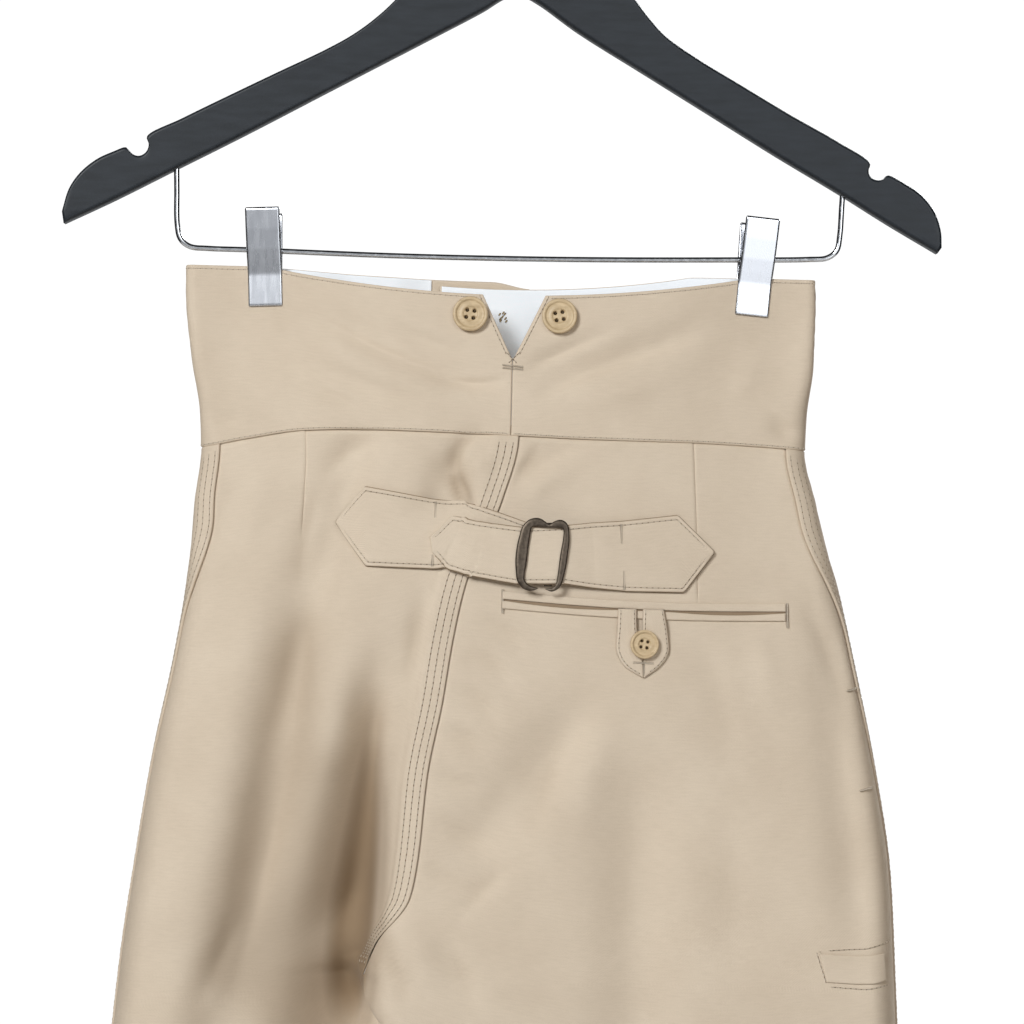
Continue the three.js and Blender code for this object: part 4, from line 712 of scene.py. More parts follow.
def dart_height(side, distance, h):
    """Step of a dart: cloth on its left lies on top, flush again some millimetres away."""
    length = DARTS[side][-1][0]
    share = 1 - ease(length - 8, length + 1, h)
    on_top = distance > 0 if side == "left" else distance < 0
    groove = 0.4 * share * np.exp(-((distance / 0.7) ** 2))
    return DART_STEP * share * on_top * np.exp(-np.abs(distance) / 5.0) - groove


panels = {}
for side in ("left", "right"):
    facing = 1.0 if side == "left" else -1.0
    line, run, fold_at = ring(side, ROWS, inside_end(side, "back", ROWS), inside_end(side, "front", ROWS))
    fold_x = side_x[side](ROWS) - SIGN[side] * depth["fold"](ROWS) * (1 - np.cos(side_seam_angle(ROWS)))
    seam = run_at_x(line, run, fold_at, fold_x)
    whole = run[:, -1]
    zero = np.zeros(len(ROWS))
    h = ROWS[:, None]
    hem = 0.9 * (h > 994.5) - 2.2 * (1 - ease(80.4, 82.6, h))
    # back: from the seat seam over the dart's line to some millimetres past the side seam
    dart_x = np.interp(ROWS, *np.array(DARTS[side]).T)
    dart = run_at_x(line, run, fold_at, dart_x)
    at = np.concatenate([columns_between(zero, dart - 0.04, 52),
                         columns_between(dart + 0.04, seam + LAP, 66)], 1)
    points = cut(line, run, at)
    under = 1.25 * ease(-1.5, 1.0, at - seam[:, None])
    outer = hem - under + dart_height(side, at - dart[:, None], h)
    if side == "left":
        outer = outer + fell_height(at, h)
        normals = grid_normals(points, facing)
    else:
        extra = (np.array([1, 0.55, 0.2]) * mix(LAP, 0.4, ease(296, 322, h)))[:, :, None]
        tangent = unit(points[:, :1] - points[:, 5:6])
        points = np.concatenate([points[:, :1] + tangent * extra, points], 1)
        drop = UNDER_DROP * (1 - ease(-1.2, 1.8, at)) * (1 - ease(300, 330, h))
        first = outer[:, :1] - UNDER_DROP * (1 - ease(300, 330, h))
        outer = np.concatenate([np.repeat(first, 3, 1), outer - drop], 1)
        normals = grid_normals(points, facing)
    inner = CLOTH_IN - outer
    panels["back", side] = (points, outer, inner, facing, normals)
    # front: from the side seam to the fly
    at = columns_between(seam, whole, 62)
    points = cut(line, run, at)
    outer = hem + fell_height(at - seam[:, None], h)
    panels["front", side] = (points, outer, CLOTH_IN - np.minimum(outer, 0), facing,
                             grid_normals(points, facing))

surfaces = {}
for (face, side), (points, outer, inner, facing, normals) in panels.items():
    name = f"{face}_{side}_cloth"
    made, top, normals = shell(name, points, outer, inner, facing, drill, edge=0.7, normals=normals)
    surfaces[face, side] = (top, normals)
    # painted shade in the colour of the deep folds
    shade_folds(made, face)
    finished(made, f"{face}_{side}", "twill")
    cloth_sheet(made, top)

# %% [markdown]
# ## Waistband
# The high band is cut in two halves that meet in a V at the centre back. Its cloth is folded over at
# the top, so the edge is thick and round, and the front halves are lined with bleached cotton that
# shows through the V. The left half ends in a facing of the trousers' own cloth.


# %% Band, linings and facing
def notch_x(side, h):
    """x of the back end of a half band: down the V, then along the centre back seam."""
    return CENTRE_BACK_X + SIGN[side] * (0.1 + NOTCH_HALF * np.maximum(0, 1 - h / NOTCH_H))


BAND_ROWS = np.unique(np.concatenate([EDGE_FINE, np.arange(2.5, 81, 1.6), 82.4 - EDGE_FINE]))
band_top = {}
for side in ("left", "right"):
    facing = 1.0 if side == "left" else -1.0
    ends = np.full(len(BAND_ROWS), CENTRE_BACK_X), np.full(len(BAND_ROWS), OVERLAP[side])
    line, run, fold_at = ring(side, BAND_ROWS, *ends)
    first = run_at_x(line, run, fold_at, notch_x(side, BAND_ROWS))
    at = columns_between(first, run[:, -1], 180)
    points = cut(line, run, at)
    made, top, normals = shell(f"band_{side}_cloth", points, 0.9, 0.85, facing, drill, edge=0.8)
    band_top[side] = (top, normals)
    finished(made, f"waistband_{side}", "twill")
    cloth_sheet(made, top)
    rows = (BAND_ROWS > 0.25) & (BAND_ROWS < 80)
    inner_line, inner_run = line[rows], run[rows]
    fold_run = inner_run[:, fold_at] + 6
    turn = OVERLAP["right"] - 4.0
    front = inner_line[:, fold_at:]
    if side == "left":
        split = np.array([np.interp(turn, p[:, 0], r) for p, r in zip(front, inner_run[:, fold_at:])])
        parts = [("lining_left", fold_run, split - 0.3, lining_cotton, "lining", 100),
                 ("fly_facing", split + 0.3, inner_run[:, -1] - 1, drill, "twill", 30)]
    else:
        parts = [("lining_right", fold_run, inner_run[:, -1] - 1, lining_cotton, "lining", 110)]
    for name, start, stop, material, slot_name, count in parts:
        part_points = cut(inner_line, inner_run, columns_between(start, stop, count))
        made, top, _ = shell(f"{name}_cloth", part_points, -0.95, 1.75, facing, material, edge=0.6)
        finished(made, name, slot_name)
        cloth_sheet(made, top)

# %% [markdown]
# ## Places on the back
# Straps, pocket welts, buttons and stitches lie on the finished back. A place is asked for by x and by
# its true depth below the waist, and the surface functions answer with a point and a normal.


# %% Lookups
def level_at(side, face, x, d):
    """Nominal depth h whose sagged place has the true depth d: three rounds of h = d - sag."""
    h = d - sag(side, face, x, d)
    for _ in range(3):
        h = d - sag(side, face, x, h)
    return h


def surface_y(side, face, x, d):
    """y of the cloth at x and true depth d, with the quarter turn of the side fold."""
    h = level_at(side, face, x, d)
    start, reach = side_x[side](h), depth["fold"](h)
    end = inside_end(side, face, h) if np.max(h) > BAND_H else np.full_like(h, CENTRE_BACK_X)
    c = np.clip(1 - (start - x) * SIGN[side] / reach, 0, 1)
    return face_y(side, face, x, h, start, end) * np.sqrt(1 - c * c)


def back_y(x, d):
    """Outermost y of the back: the side that owns x, with the fell's and the band's extra height."""
    h = level_at("left", "back", x, d)
    seam = np.where(h < BAND_H, CENTRE_BACK_X, seat_x(h))
    left = surface_y("left", "back", np.minimum(x, seam), d)
    right = surface_y("right", "back", np.maximum(x, seam), d)
    step = np.where(h < BAND_H + 2, 0.9, fell_height(np.where(x < seam, seam - x, 99), h))
    return np.where(x < seam, left, right) - step


def on_back(x, d):
    """Point and outward normal of the finished back."""
    x, d = np.broadcast_arrays(np.asarray(x, float), np.asarray(d, float))
    reach = 2.0
    y = back_y(x, d)
    slope_x = (back_y(x + reach, d) - back_y(x - reach, d)) / (2 * reach)
    slope_d = (back_y(x, d + reach) - back_y(x, d - reach)) / (2 * reach)
    normal = unit(np.stack([slope_x, np.full_like(y, -1.0), -slope_d], -1))
    return np.stack([x, y, WAIST_Z - d], -1), normal


sample, _ = on_back(np.array([0.0, 60.0, -60.0]), np.array([150.0, 180.0, 100.0]))
print("three places", sample.round(1).tolist())

# %% [markdown]
# ## Cinch straps
# Two straps pull the waist in: each is a folded strip with a pointed end, sewn down at the point. The
# left one carries the buckle; the right one passes over the buckle's hidden bar and its tail lies on
# the left strap. A shallow groove follows the stitches and the middle stands a little higher. A thin
# dark strip just outside each edge is painted shadow, the shade under the strap's edge.

# %% Straps
STRAP_WALL, EDGE_SHADOW_WALL = 1.6, 0.16
LEFT_LIFT = 0.65
BAR_LIFT = LEFT_LIFT + STRAP_WALL + 0.5
BAR_THICK = 1.2
THREAD_LIFT = BAR_LIFT + BAR_THICK + 0.2
FRAME_LIFT = THREAD_LIFT + STRAP_WALL + 0.2
LEFT_STRAP = [  # upper edge, lower edge, lift
    ((-81.6, 126), (-81.6, 127.2), LEFT_LIFT), ((-67.4, 108.9), (-66, 147.9), LEFT_LIFT),
    ((-35, 114.2), (-33.5, 148.4), LEFT_LIFT + 0.3), ((-13, 116.6), (-14, 147), LEFT_LIFT + 0.3),
    ((1, 121), (0, 147.4), LEFT_LIFT), ((13, 125), (11.5, 148), LEFT_LIFT), ((21, 128), (20, 148), LEFT_LIFT)]
RIGHT_STRAP = [
    ((105, 136.4), (105, 137.6), LEFT_LIFT), ((86.8, 119.4), (90.6, 157.2), LEFT_LIFT),
    ((59.4, 123), (62.4, 157.2), LEFT_LIFT), ((45, 124.2), (46, 156), LEFT_LIFT + 0.8),
    ((32, 126), (32, 154.4), THREAD_LIFT), ((10, 127.4), (8, 155), THREAD_LIFT),
    ((0, 126.4), (-2, 153.6), THREAD_LIFT), ((-12, 125), (-14, 151.6), BAR_LIFT + 0.9),
    ((-23.6, 123.3), (-25.2, 148.6), BAR_LIFT), ((-35.2, 132.9), (-33.8, 140.4), BAR_LIFT)]


def seat_on(x, d, radius, gap):
    """Rigid seat for a flat round thing: centre and normal, just clear of the cloth under it."""
    centre, _ = on_back(x, d)
    a = np.linspace(0, 2 * np.pi, 24, endpoint=False)
    around, _ = on_back(x + radius * np.cos(a), d + radius * np.sin(a))
    spokes = around - centre
    normal = unit(np.cross(spokes, np.roll(spokes, -1, 0)).sum(0))
    normal = normal * -np.sign(normal[1])
    rise = max(0.0, float((spokes @ normal).max()))
    return centre + normal * (rise + gap), normal


BUCKLE_AT = (20.5, 141.0)
buckle_centre, buckle_normal = seat_on(*BUCKLE_AT, 17, 0)


def strap_rest(x, d):
    """Cloth under a strap: the panel evened out over a few millimetres, as a stiff strip bridges a
    felled edge, and levelled to a flat seat around the buckle."""
    point, normal = on_back(x, d)
    point[..., 1] = sum(back_y(x + shift, d) for shift in (-9, -6, -3, 0, 3, 6, 9)) / 7
    c, n = buckle_centre, buckle_normal
    flat = c[1] - ((x - c[0]) * n[0] + (WAIST_Z - d - c[2]) * n[2]) / n[1]
    near = 1 - ease(22, 38, np.abs(x - BUCKLE_AT[0]))
    point[..., 1] = np.minimum(point[..., 1], mix(point[..., 1], flat, near))
    return point, unit(mix(normal, n, near[..., None]))


def strip(name, stations, along, across, thickness, rest, facing, material, edge=0.6, puff=0.0):
    """Strip between an upper and a lower edge: stations are joined by straight runs, points are taken
    from the cloth and moved out by the lift; the middle may stand a little higher (puff)."""
    upper = np.array([s[0] for s in stations], float)
    lower = np.array([s[1] for s in stations], float)
    lift = np.array([s[2] for s in stations], float)
    mid = (upper + lower) / 2
    run = run_along(mid)
    fine = EDGE_FINE * 1.2
    t = np.unique(np.concatenate([fine, np.linspace(fine[-1], run[-1] - fine[-1], along), run[-1] - fine]))
    pick = lambda values: np.interp(t, run, values)
    ux, ud, lx, ld = pick(upper[:, 0]), pick(upper[:, 1]), pick(lower[:, 0]), pick(lower[:, 1])
    width = float(np.median(np.hypot(ux - lx, ud - ld)))
    share = np.unique(np.concatenate([fine / width,
                                      np.linspace(fine[-1] / width, 1 - fine[-1] / width, across),
                                      1 - fine / width]))[:, None]
    x, d = mix(ux, lx, share), mix(ud, ld, share)
    point, normal = rest(x, d)
    local = np.hypot(ux - lx, ud - ld)
    from_edge = np.minimum(share, 1 - share) * local
    groove = puff * 0.8 * np.exp(-(((from_edge - 1.9) / 0.9) ** 2)) * ease(8, 16, local)
    dome = puff * np.sin(np.pi * np.clip(share, 0, 1)) ** 0.5 - groove
    point = point + normal * (pick(lift) + 0 * share)[..., None]
    return shell(name, point, thickness + dome, 0.0, facing, material, edge=edge, normals=normal)


def inset(points, distance):
    """A chain of straight runs moved sideways by a distance, each corner on the bisector."""
    p = np.asarray(points, float)
    run = unit(np.diff(p, axis=0))
    side = np.stack([-run[:, 1], run[:, 0]], -1)
    corner = unit(side[:-1] + side[1:])
    reach = distance / (corner * side[:-1]).sum(1)
    return np.concatenate([p[:1] + side[:1] * distance, p[1:-1] + corner * reach[:, None],
                           p[-1:] + side[-1:] * distance])


for name, stations, facing in (("strap_left", LEFT_STRAP, -1.0), ("strap_right", RIGHT_STRAP, 1.0)):
    made, top, _ = strip(f"{name}_cloth", stations, 120, 38, STRAP_WALL, strap_rest, facing, drill, puff=0.35)
    sign = 1 if name == "strap_left" else -1
    # Painted shadow: a thin dark strip of shade material laid just outside each edge of the strap
    upper, lower = inset([s[0] for s in stations], -0.42 * sign), inset([s[1] for s in stations], 0.42 * sign)
    lips = [(u, v, s[2] - 0.12) for u, v, s in zip(upper, lower, stations)]
    lip, _, _ = strip(f"{name}_painted_edge_shadow", lips, 100, 16, EDGE_SHADOW_WALL, strap_rest, facing, shade_material,
                      edge=0.08)
    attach(lip, "root")
    finished(made, name, "twill")
    cloth_sheet(made, top)

# %% [markdown]
# ## Round and flat solids
# Wire, buttons and the buckle are rings of points swept along a line; each ring is joined to the next
# and both ends close on one point. A board is two grids between its lower and upper outline.


# %% Swept rings and boards
def loft(name, rings, material, ends):
    """Closed body through rings of points (n, m, 3), each end closed on its own point."""
    n, m = rings.shape[:2]
    index = np.arange(n * m).reshape(n, m)
    index = np.concatenate([index, index[:, :1]], 1)
    quads = grid_faces(index, 1)
    first = np.stack([index[0, 1:], index[0, :-1], np.full(m, n * m)], -1)
    last = np.stack([index[-1, :-1], index[-1, 1:], np.full(m, n * m + 1)], -1)
    points = np.concatenate([rings.reshape(-1, 3), np.asarray(ends, float)])
    triangles = np.concatenate([quads[:, [0, 1, 2]], quads[:, [0, 2, 3]], first, last])
    a, b, c = (points[triangles[:, k]] for k in range(3))
    blocks = [quads, first, last]
    if np.einsum("ij,ij->i", a, np.cross(b, c)).sum() < 0:
        blocks = [block[:, ::-1] for block in blocks]
    along = np.repeat(np.linspace(0, 1, n), m)
    around = np.tile(np.linspace(0, 1, m), n)
    uv = np.concatenate([np.stack([along, around], -1), [[0, 0], [1, 1]]])
    return new_mesh(name, points, blocks, uv, material)


def smooth_path(points, count, closed=False):
    """Even points on a centripetal Catmull-Rom curve through the given ones: between p1 and p2 it is
    the blend of three straight runs over knots spaced by the root of the distances."""
    p = np.asarray(points, float)
    before, after = (p[-1:], p[:2]) if closed else (2 * p[:1] - p[1:2], 2 * p[-1:] - p[-2:-1])
    p = np.concatenate([before, p, after])
    knots = np.concatenate([[0], np.cumsum(np.linalg.norm(np.diff(p, axis=0), axis=1) ** 0.5)])
    made = []
    for k in range(1, len(p) - 2):
        q, w = p[k - 1 : k + 3], knots[k - 1 : k + 3]
        t = np.linspace(w[1], w[2], 12, endpoint=False)[:, None]
        lerp = lambda a, b, ta, tb: (a * (tb - t) + b * (t - ta)) / (tb - ta)
        a1, a2, a3 = (lerp(q[i], q[i + 1], w[i], w[i + 1]) for i in range(3))
        b1, b2 = lerp(a1, a2, w[0], w[2]), lerp(a2, a3, w[1], w[3])
        made.append(lerp(b1, b2, w[1], w[2]))
    if not closed:
        made.append(p[-2:-1])
    dense = np.concatenate(made)
    if closed:
        dense = np.concatenate([dense, dense[:1]])
    run = run_along(dense)
    want = np.linspace(0, run[-1], count + 1)[:-1] if closed else np.linspace(0, run[-1], count)
    return np.stack([np.interp(want, run, dense[:, k]) for k in range(p.shape[1])], -1)


def wire(name, path, radius, count, sides, material):
    """Round wire along points of the XZ plane, with softly rounded ends."""
    line = smooth_path(path, count)
    along = unit(np.gradient(line, axis=0))
    across = np.stack([-along[:, 1], along[:, 0]], -1)
    run = run_along(line)
    end = np.minimum(run, run[-1] - run) / radius
    r = radius * np.sqrt(1 - (1 - np.clip(end + 0.3, 0, 1)) ** 2)
    a = np.linspace(0, 2 * np.pi, sides, endpoint=False)
    flat = line[:, None] + across[:, None] * (r[:, None] * np.cos(a))[..., None]
    rings = np.stack([flat[..., 0], r[:, None] * np.sin(a), flat[..., 1]], -1)
    ends = [(line[0, 0], 0, line[0, 1]), (line[-1, 0], 0, line[-1, 1])]
    return loft(name, rings, material, ends)


def plank(name, foot, top, half, edge, material, rows=22):
    """Board of the XZ plane between a lower and an upper outline, 2 * half thick. Near its rim the
    half thickness falls from half to half - edge along a quarter circle, and a straight wall joins
    the two layers there."""
    share = np.concatenate([np.linspace(0, 0.12, 9), np.linspace(0.12, 0.88, rows - 16)[1:-1],
                            np.linspace(0.88, 1, 9)])
    flat = mix(foot[None], top[None], share[:, None, None])
    near = border_distance(np.concatenate([flat, np.zeros(flat.shape[:2] + (1,))], -1))[0]
    y = half - edge + edge * np.sqrt(1 - (1 - np.clip(near / edge, 0, 1)) ** 2)
    n, m = y.shape
    front = np.stack([flat[..., 0], -y, flat[..., 1]], -1).reshape(-1, 3)
    back = np.stack([flat[..., 0], y, flat[..., 1]], -1).reshape(-1, 3)
    index = np.arange(n * m).reshape(n, m)
    rim = np.concatenate([index[0], index[1:, -1], index[-1, -2::-1], index[-2:0:-1, 0]])
    after = np.roll(rim, -1)
    wall = np.stack([rim, rim + n * m, after + n * m, after], -1)
    uv = np.tile(flat.reshape(-1, 2) * 0.001, (2, 1))
    return new_mesh(name, np.concatenate([front, back]),
                    [grid_faces(index, 1), grid_faces(index + n * m, -1), wall], uv, material)


# %% [markdown]
# ## Back pocket and rule pocket
# The back pocket is a slot between two narrow welts. A tab, which is a sewn strip folded to a point,
# comes out of the slot and buttons on the panel. The rule pocket at the side of the right leg has a
# single short welt in its mouth.

# %% Welts and tab
WELT_WALL, WELT_LIFT = 1.1, 0.15
POCKET = {"left": 1.2, "right": 141.6, "upper": 158.5, "drop": 3.2, "welt": 3.9, "slit": 0.8}
TAB_WALL = 1.2


def welt_stations(top, bottom, gape=0.0):
    """Stations of a welt: its line falls a little to the right and bows down in the middle. The slot
    gapes at both sides of the tab, by up to gape."""
    made = []
    for t in np.linspace(0, 1, 25):
        x = mix(POCKET["left"], POCKET["right"], t)
        d = POCKET["upper"] + POCKET["drop"] * t + 2 * math.sin(math.pi * t)
        lens = math.sin(math.pi * min(1, t / 0.42)) + 1.1 * math.sin(math.pi * max(0, t - 0.6) / 0.4)
        made.append(((x, d + top + gape * lens), (x, d + bottom), WELT_LIFT))
    return made


lower_from = POCKET["welt"] + POCKET["slit"]
# Painted shade: a dark strip on the panel under the slot between the welts
slot_line = [(a, b, 0.05) for a, b, _ in welt_stations(POCKET["welt"] - 0.4, lower_from + 1.6)]
slot, _, _ = strip("pocket_slot_shade", slot_line, 100, 4, 0.12, on_back, 1.0, shade_material, edge=0.05)
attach(slot, "root")
for name, stations in (("pocket_welt_upper", welt_stations(0, POCKET["welt"])),
                       ("pocket_welt_lower", welt_stations(lower_from, lower_from + POCKET["welt"], 1.0))):
    made, top, _ = strip(f"{name}_cloth", stations, 120, 8, WELT_WALL, on_back, 1.0, drill, edge=0.9)
    finished(made, name, "twill")
    cloth_sheet(made, top)

RULE_WELT = [((161.5, 333.2), (165.4, 347), 0.2), ((178, 334), (180, 347.8), 0.2),
             ((188, 333.8), (189.4, 347.4), 0.3), ((193.4, 332.9), (194.6, 346), 0.5)]
made, top, _ = strip("rule_pocket_welt_cloth", RULE_WELT, 50, 14, 0.9, on_back, 1.0, drill, edge=0.8)
finished(made, "rule_pocket_welt", "twill")
cloth_sheet(made, top)

tab_centre, tab_normal = seat_on(71, 184, 13, 0)


def on_tab(x, d, lift):
    """A place on the tab's plane, which rises over the lower welt towards its top."""
    c, n = tab_centre, tab_normal
    y = c[1] - ((x - c[0]) * n[0] + (WAIST_Z - d - c[2]) * n[2]) / n[1]
    rise = mix(WELT_LIFT + WELT_WALL + 0.25, 0.35, ease(172, 186, d))
    return np.stack([x, y, WAIST_Z - d], -1) + n * (lift + rise)[..., None]


# each leg of the folded strip: outer edge and inner edge down to the point, as (x, depth)
TAB_LEGS = {
    "left": ([(58.2, 165.8), (58, 176), (58, 187), (62, 194), (71.4, 199.6)],
             [(67.4, 165.8), (67.9, 176), (70.3, 186), (71.2, 193), (71.5, 199.6)]),
    "right": ([(81, 165.8), (83.6, 180), (84, 187), (80, 193.5), (71.8, 199.6)],
              [(70.4, 165.8), (70.3, 176), (70.6, 186), (71.4, 193), (71.6, 199.6)])}
tab_parts = {}
for side, (outer_edge, inner_edge) in TAB_LEGS.items():
    o, i = smooth_path(outer_edge, 46), smooth_path(inner_edge, 46)
    share = np.linspace(0, 1, 15)[:, None]
    x, d = mix(o[:, 0], i[:, 0], share), mix(o[:, 1], i[:, 1], share)
    bulge = 0.18 * np.sin(np.pi * share) * np.ones_like(x)
    points = on_tab(x, d, bulge)
    facing = -1.0 if side == "left" else 1.0
    made, top, normals = shell(f"pocket_tab_{side}", points, TAB_WALL, 0.0, -facing, drill, edge=0.8,
                               normals=np.broadcast_to(tab_normal, points.shape))
    tab_parts[side] = (top, normals)
    finished(made, "pocket_tab", "twill")
    cloth_sheet(made, top)

# %% [markdown]
# ## Buttons
# Corozo buttons are turned on a lathe: a raised rim, a shallow ring, a raised inner ring and a dished
# middle with four holes. The holes are deep smooth dips of the turned surface; a dark bead of painted
# shade lies at the bottom of each.

# %% Buttons
def button(name, radius, thickness, hole, spacing, centre, normal, turn):
    """Turned profile (distance from the axis, height) round the normal; each hole lowers the surface
    by 2 mm where the distance from its centre is under the hole's radius."""
    r, t = radius, thickness
    top = np.array([
        (0.02, 0.58), (0.2, 0.58), (0.36, 0.6), (0.42, 0.72), (0.47, 0.79), (0.54, 0.78), (0.6, 0.74),
        (0.7, 0.73), (0.76, 0.76), (0.8, 0.9), (0.84, 0.98), (0.9, 1.0), (0.955, 0.97), (0.99, 0.86),
        (1.0, 0.7), (0.995, 0.4), (0.95, 0.16), (0.86, 0.02), (0.6, 0.0), (0.02, 0.0)])
    run = np.concatenate([[0], np.cumsum(np.hypot(*np.diff(top * (r, t), axis=0).T))])
    s = np.linspace(0, run[-1], 74)
    radial, rise = np.interp(s, run, top[:, 0] * r), np.interp(s, run, top[:, 1] * t)
    a = np.linspace(0, 2 * np.pi, 96, endpoint=False) + turn
    x, y = radial[:, None] * np.cos(a), radial[:, None] * np.sin(a)
    z = np.repeat(rise[:, None], len(a), 1)
    upper = (np.arange(len(s)) < np.argmax(radial))[:, None]
    for sx in (-1, 1):
        for sy in (-1, 1):
            hx, hy = sx * spacing / 2, sy * spacing / 2
            gap = np.hypot(x - hx * math.cos(turn) + hy * math.sin(turn),
                           y - hx * math.sin(turn) - hy * math.cos(turn))
            z = z - upper * 0.5 * t * (1 - ease(hole * 0.75, hole * 1.2, gap))
    side = unit(np.cross(normal, (0.0, 0.0, 1.0)))
    up = np.cross(side, normal)
    rings = centre + x[..., None] * side + y[..., None] * up + z[..., None] * normal
    return loft(name, rings, corozo, [centre + normal * 0.58 * t, centre])


def hole_shades(centre, normal, turn, spacing, size, height):
    """Dark beads of painted shade deep in the four holes, as (centres, tangents, normals, sizes)."""
    side = unit(np.cross(normal, (0.0, 0.0, 1.0)))
    up = np.cross(side, normal)
    a = np.radians([45, 135, 225, 315]) + turn
    reach = spacing / math.sqrt(2)
    at = np.ravel(centre) + reach * (np.cos(a)[:, None] * side + np.sin(a)[:, None] * up) + height * normal
    one = np.ones((4, 1))
    return at, one * side, one * normal, one * (size, size, 0.3)


def front_y(x, d):
    """Outermost y of the front band."""
    left = surface_y("left", "front", x, d)
    right = surface_y("right", "front", x, d)
    return np.where(x < OVERLAP["left"], left, right) + 0.9


def seat_on_front(x, d, radius, gap):
    """Rigid seat for a button on the front band."""
    a = np.linspace(0, 2 * np.pi, 24, endpoint=False)
    xs, ds = x + radius * np.cos(a), d + radius * np.sin(a)
    around = np.stack([xs, front_y(xs, ds), WAIST_Z - ds], -1)
    centre = np.array([x, float(front_y(np.array([x]), np.array([d]))[0]), WAIST_Z - d])
    spokes = around - centre
    normal = unit(np.cross(spokes, np.roll(spokes, -1, 0)).sum(0))
    normal = normal * np.sign(normal[1])
    return centre + normal * (max(0.0, float((spokes @ normal).max())) + gap), normal


BRACE_SPACING, POCKET_SPACING, POCKET_TURN = 3.6, 3.0, 0.15
button_hole_shades = []
for name, seat, turn in (("brace_button_left", seat_on(-18.0, 22.2, 9, 0.35), 0.12),
                         ("brace_button_right", seat_on(26.2, 22.2, 9, 0.35), -0.2),
                         ("band_button", seat_on_front(1.0, 24.0, 9, 0.35), 0.1),
                         ("brace_button_front_left", seat_on_front(-76.0, 24.0, 9, 0.35), 0.3),
                         ("brace_button_front_right", seat_on_front(78.0, 24.0, 9, 0.35), -0.1)):
    finished(button(f"{name}_turned", 8.75, 3.2, 0.95, BRACE_SPACING, *seat, turn), name, "button")
    button_hole_shades.append(hole_shades(*seat, turn, BRACE_SPACING, 1.75, 0.9))
pocket_seat = on_tab(np.array([71.4]), np.array([183.2]), np.array([TAB_WALL + 0.5]))[0]
finished(button("pocket_button_turned", 7.15, 2.8, 0.8, POCKET_SPACING, pocket_seat, tab_normal, POCKET_TURN),
         "pocket_button", "button")
button_hole_shades.append(hole_shades(pocket_seat, tab_normal, POCKET_TURN, POCKET_SPACING, 1.5, 0.8))

# %% [markdown]
# ## Buckle
# The frame of the buckle is cast bronze: broad at the left, narrow at the right, with a dip at the top
# and a gap at the bottom. It is swept as an oval section between its outer and inner outline. A flat
# hidden bar carries the straps.

# %% Buckle
BUCKLE_EDGES = np.array([  # outer x and depth, inner x and depth, from one end of the gap to the other
    (18.9, 157.2, 18.6, 156.9), (16.5, 158.3, 17.1, 156.6), (14, 158.4, 14.9, 156),
    (11.1, 157.4, 12.9, 154.5), (9, 155, 11.9, 152.6), (8, 152.7, 12, 149.7),
    (7.3, 146.9, 12.7, 145.8), (7.2, 142.2, 13.2, 141),
    (7.8, 136.4, 13.7, 135.6), (8.9, 131.3, 14.4, 130), (10, 127.4, 14.9, 127.6), (11.9, 124.8, 15.6, 127.1),
    (14.1, 123.2, 16.4, 126.95), (16.9, 122.5, 17.8, 126.9), (19.5, 123, 19.7, 127.1),
    (21.4, 124.2, 21.6, 127.2), (23.7, 125.5, 23.7, 127.3), (25.6, 124.2, 25.5, 127.3),
    (27.8, 123.3, 27.3, 127.3), (29.7, 123.3, 28.8, 127.4), (31.7, 124.4, 30, 127.7),
    (32.9, 126.5, 30.5, 129), (33.5, 130.7, 30.4, 131.6), (33.5, 135.1, 30, 135.2),
    (33, 139.9, 29.2, 140), (32.2, 146.3, 28.5, 146.4), (31.2, 151.1, 28, 151), (30.2, 154.7, 27.5, 154.2),
    (28.6, 157.1, 26.9, 155.6), (26.4, 158.4, 26.1, 156.5), (24.8, 158.6, 25.2, 156.95),
    (22.2, 157.5, 22.4, 157.2)])
across_axis = unit(np.array([1.0, -buckle_normal[0] / buckle_normal[1], 0.0]))
down_axis = unit(np.cross(across_axis, buckle_normal))
down_axis = down_axis * -np.sign(down_axis[2])


def on_buckle(x, d, lift):
    """A place in the buckle's own flat frame."""
    return (buckle_centre + (x - BUCKLE_AT[0])[..., None] * across_axis
            + (d - BUCKLE_AT[1])[..., None] * down_axis + lift[..., None] * buckle_normal)


edges = smooth_path(BUCKLE_EDGES, 220)
middle = (edges[:, :2] + edges[:, 2:]) / 2
reach = (edges[:, :2] - edges[:, 2:]) / 2
a = np.linspace(0, 2 * np.pi, 28, endpoint=False)
round_x = np.sign(np.cos(a)) * np.abs(np.cos(a)) ** 0.75
round_y = np.sign(np.sin(a)) * np.abs(np.sin(a)) ** 0.75
flat = middle[:, None] + reach[:, None] * round_x[None, :, None]
tip = np.sin(np.linspace(0, np.pi, 220)) ** 0.15
thick = 1.0 * np.clip(np.linalg.norm(reach, axis=1) / 1.2, 0.35, 1) * np.clip(tip * 1.2, 0.4, 1)
rise = FRAME_LIFT + 1.0 + thick[:, None] * round_y[None]
rings = on_buckle(flat[..., 0], flat[..., 1], rise)
finished(loft("buckle_frame", rings, bronze, [rings[0].mean(0), rings[-1].mean(0)]), "buckle", "bronze")
bar_half = np.array([2.0, 0.6])
bar_d = np.linspace(124.6, 155.8, 24)
bar_flat = 23.5 + bar_half[0] * round_x
rings = on_buckle(np.repeat(bar_flat[None], 24, 0), np.repeat(bar_d[:, None], 28, 1),
                  BAR_LIFT + 0.6 + bar_half[1] * np.repeat(round_y[None], 24, 0))
finished(loft("buckle_bar", rings, bronze, [rings[0].mean(0), rings[-1].mean(0)]), "buckle", "bronze")

# %% [markdown]
# ## Hanger, bar and hook
# The hanger is sawn from one board, rounded over at its rims and lacquered black. The hook is bent
# from a steel wire and turned into its crown under a collar; a thinner wire makes the trouser bar.

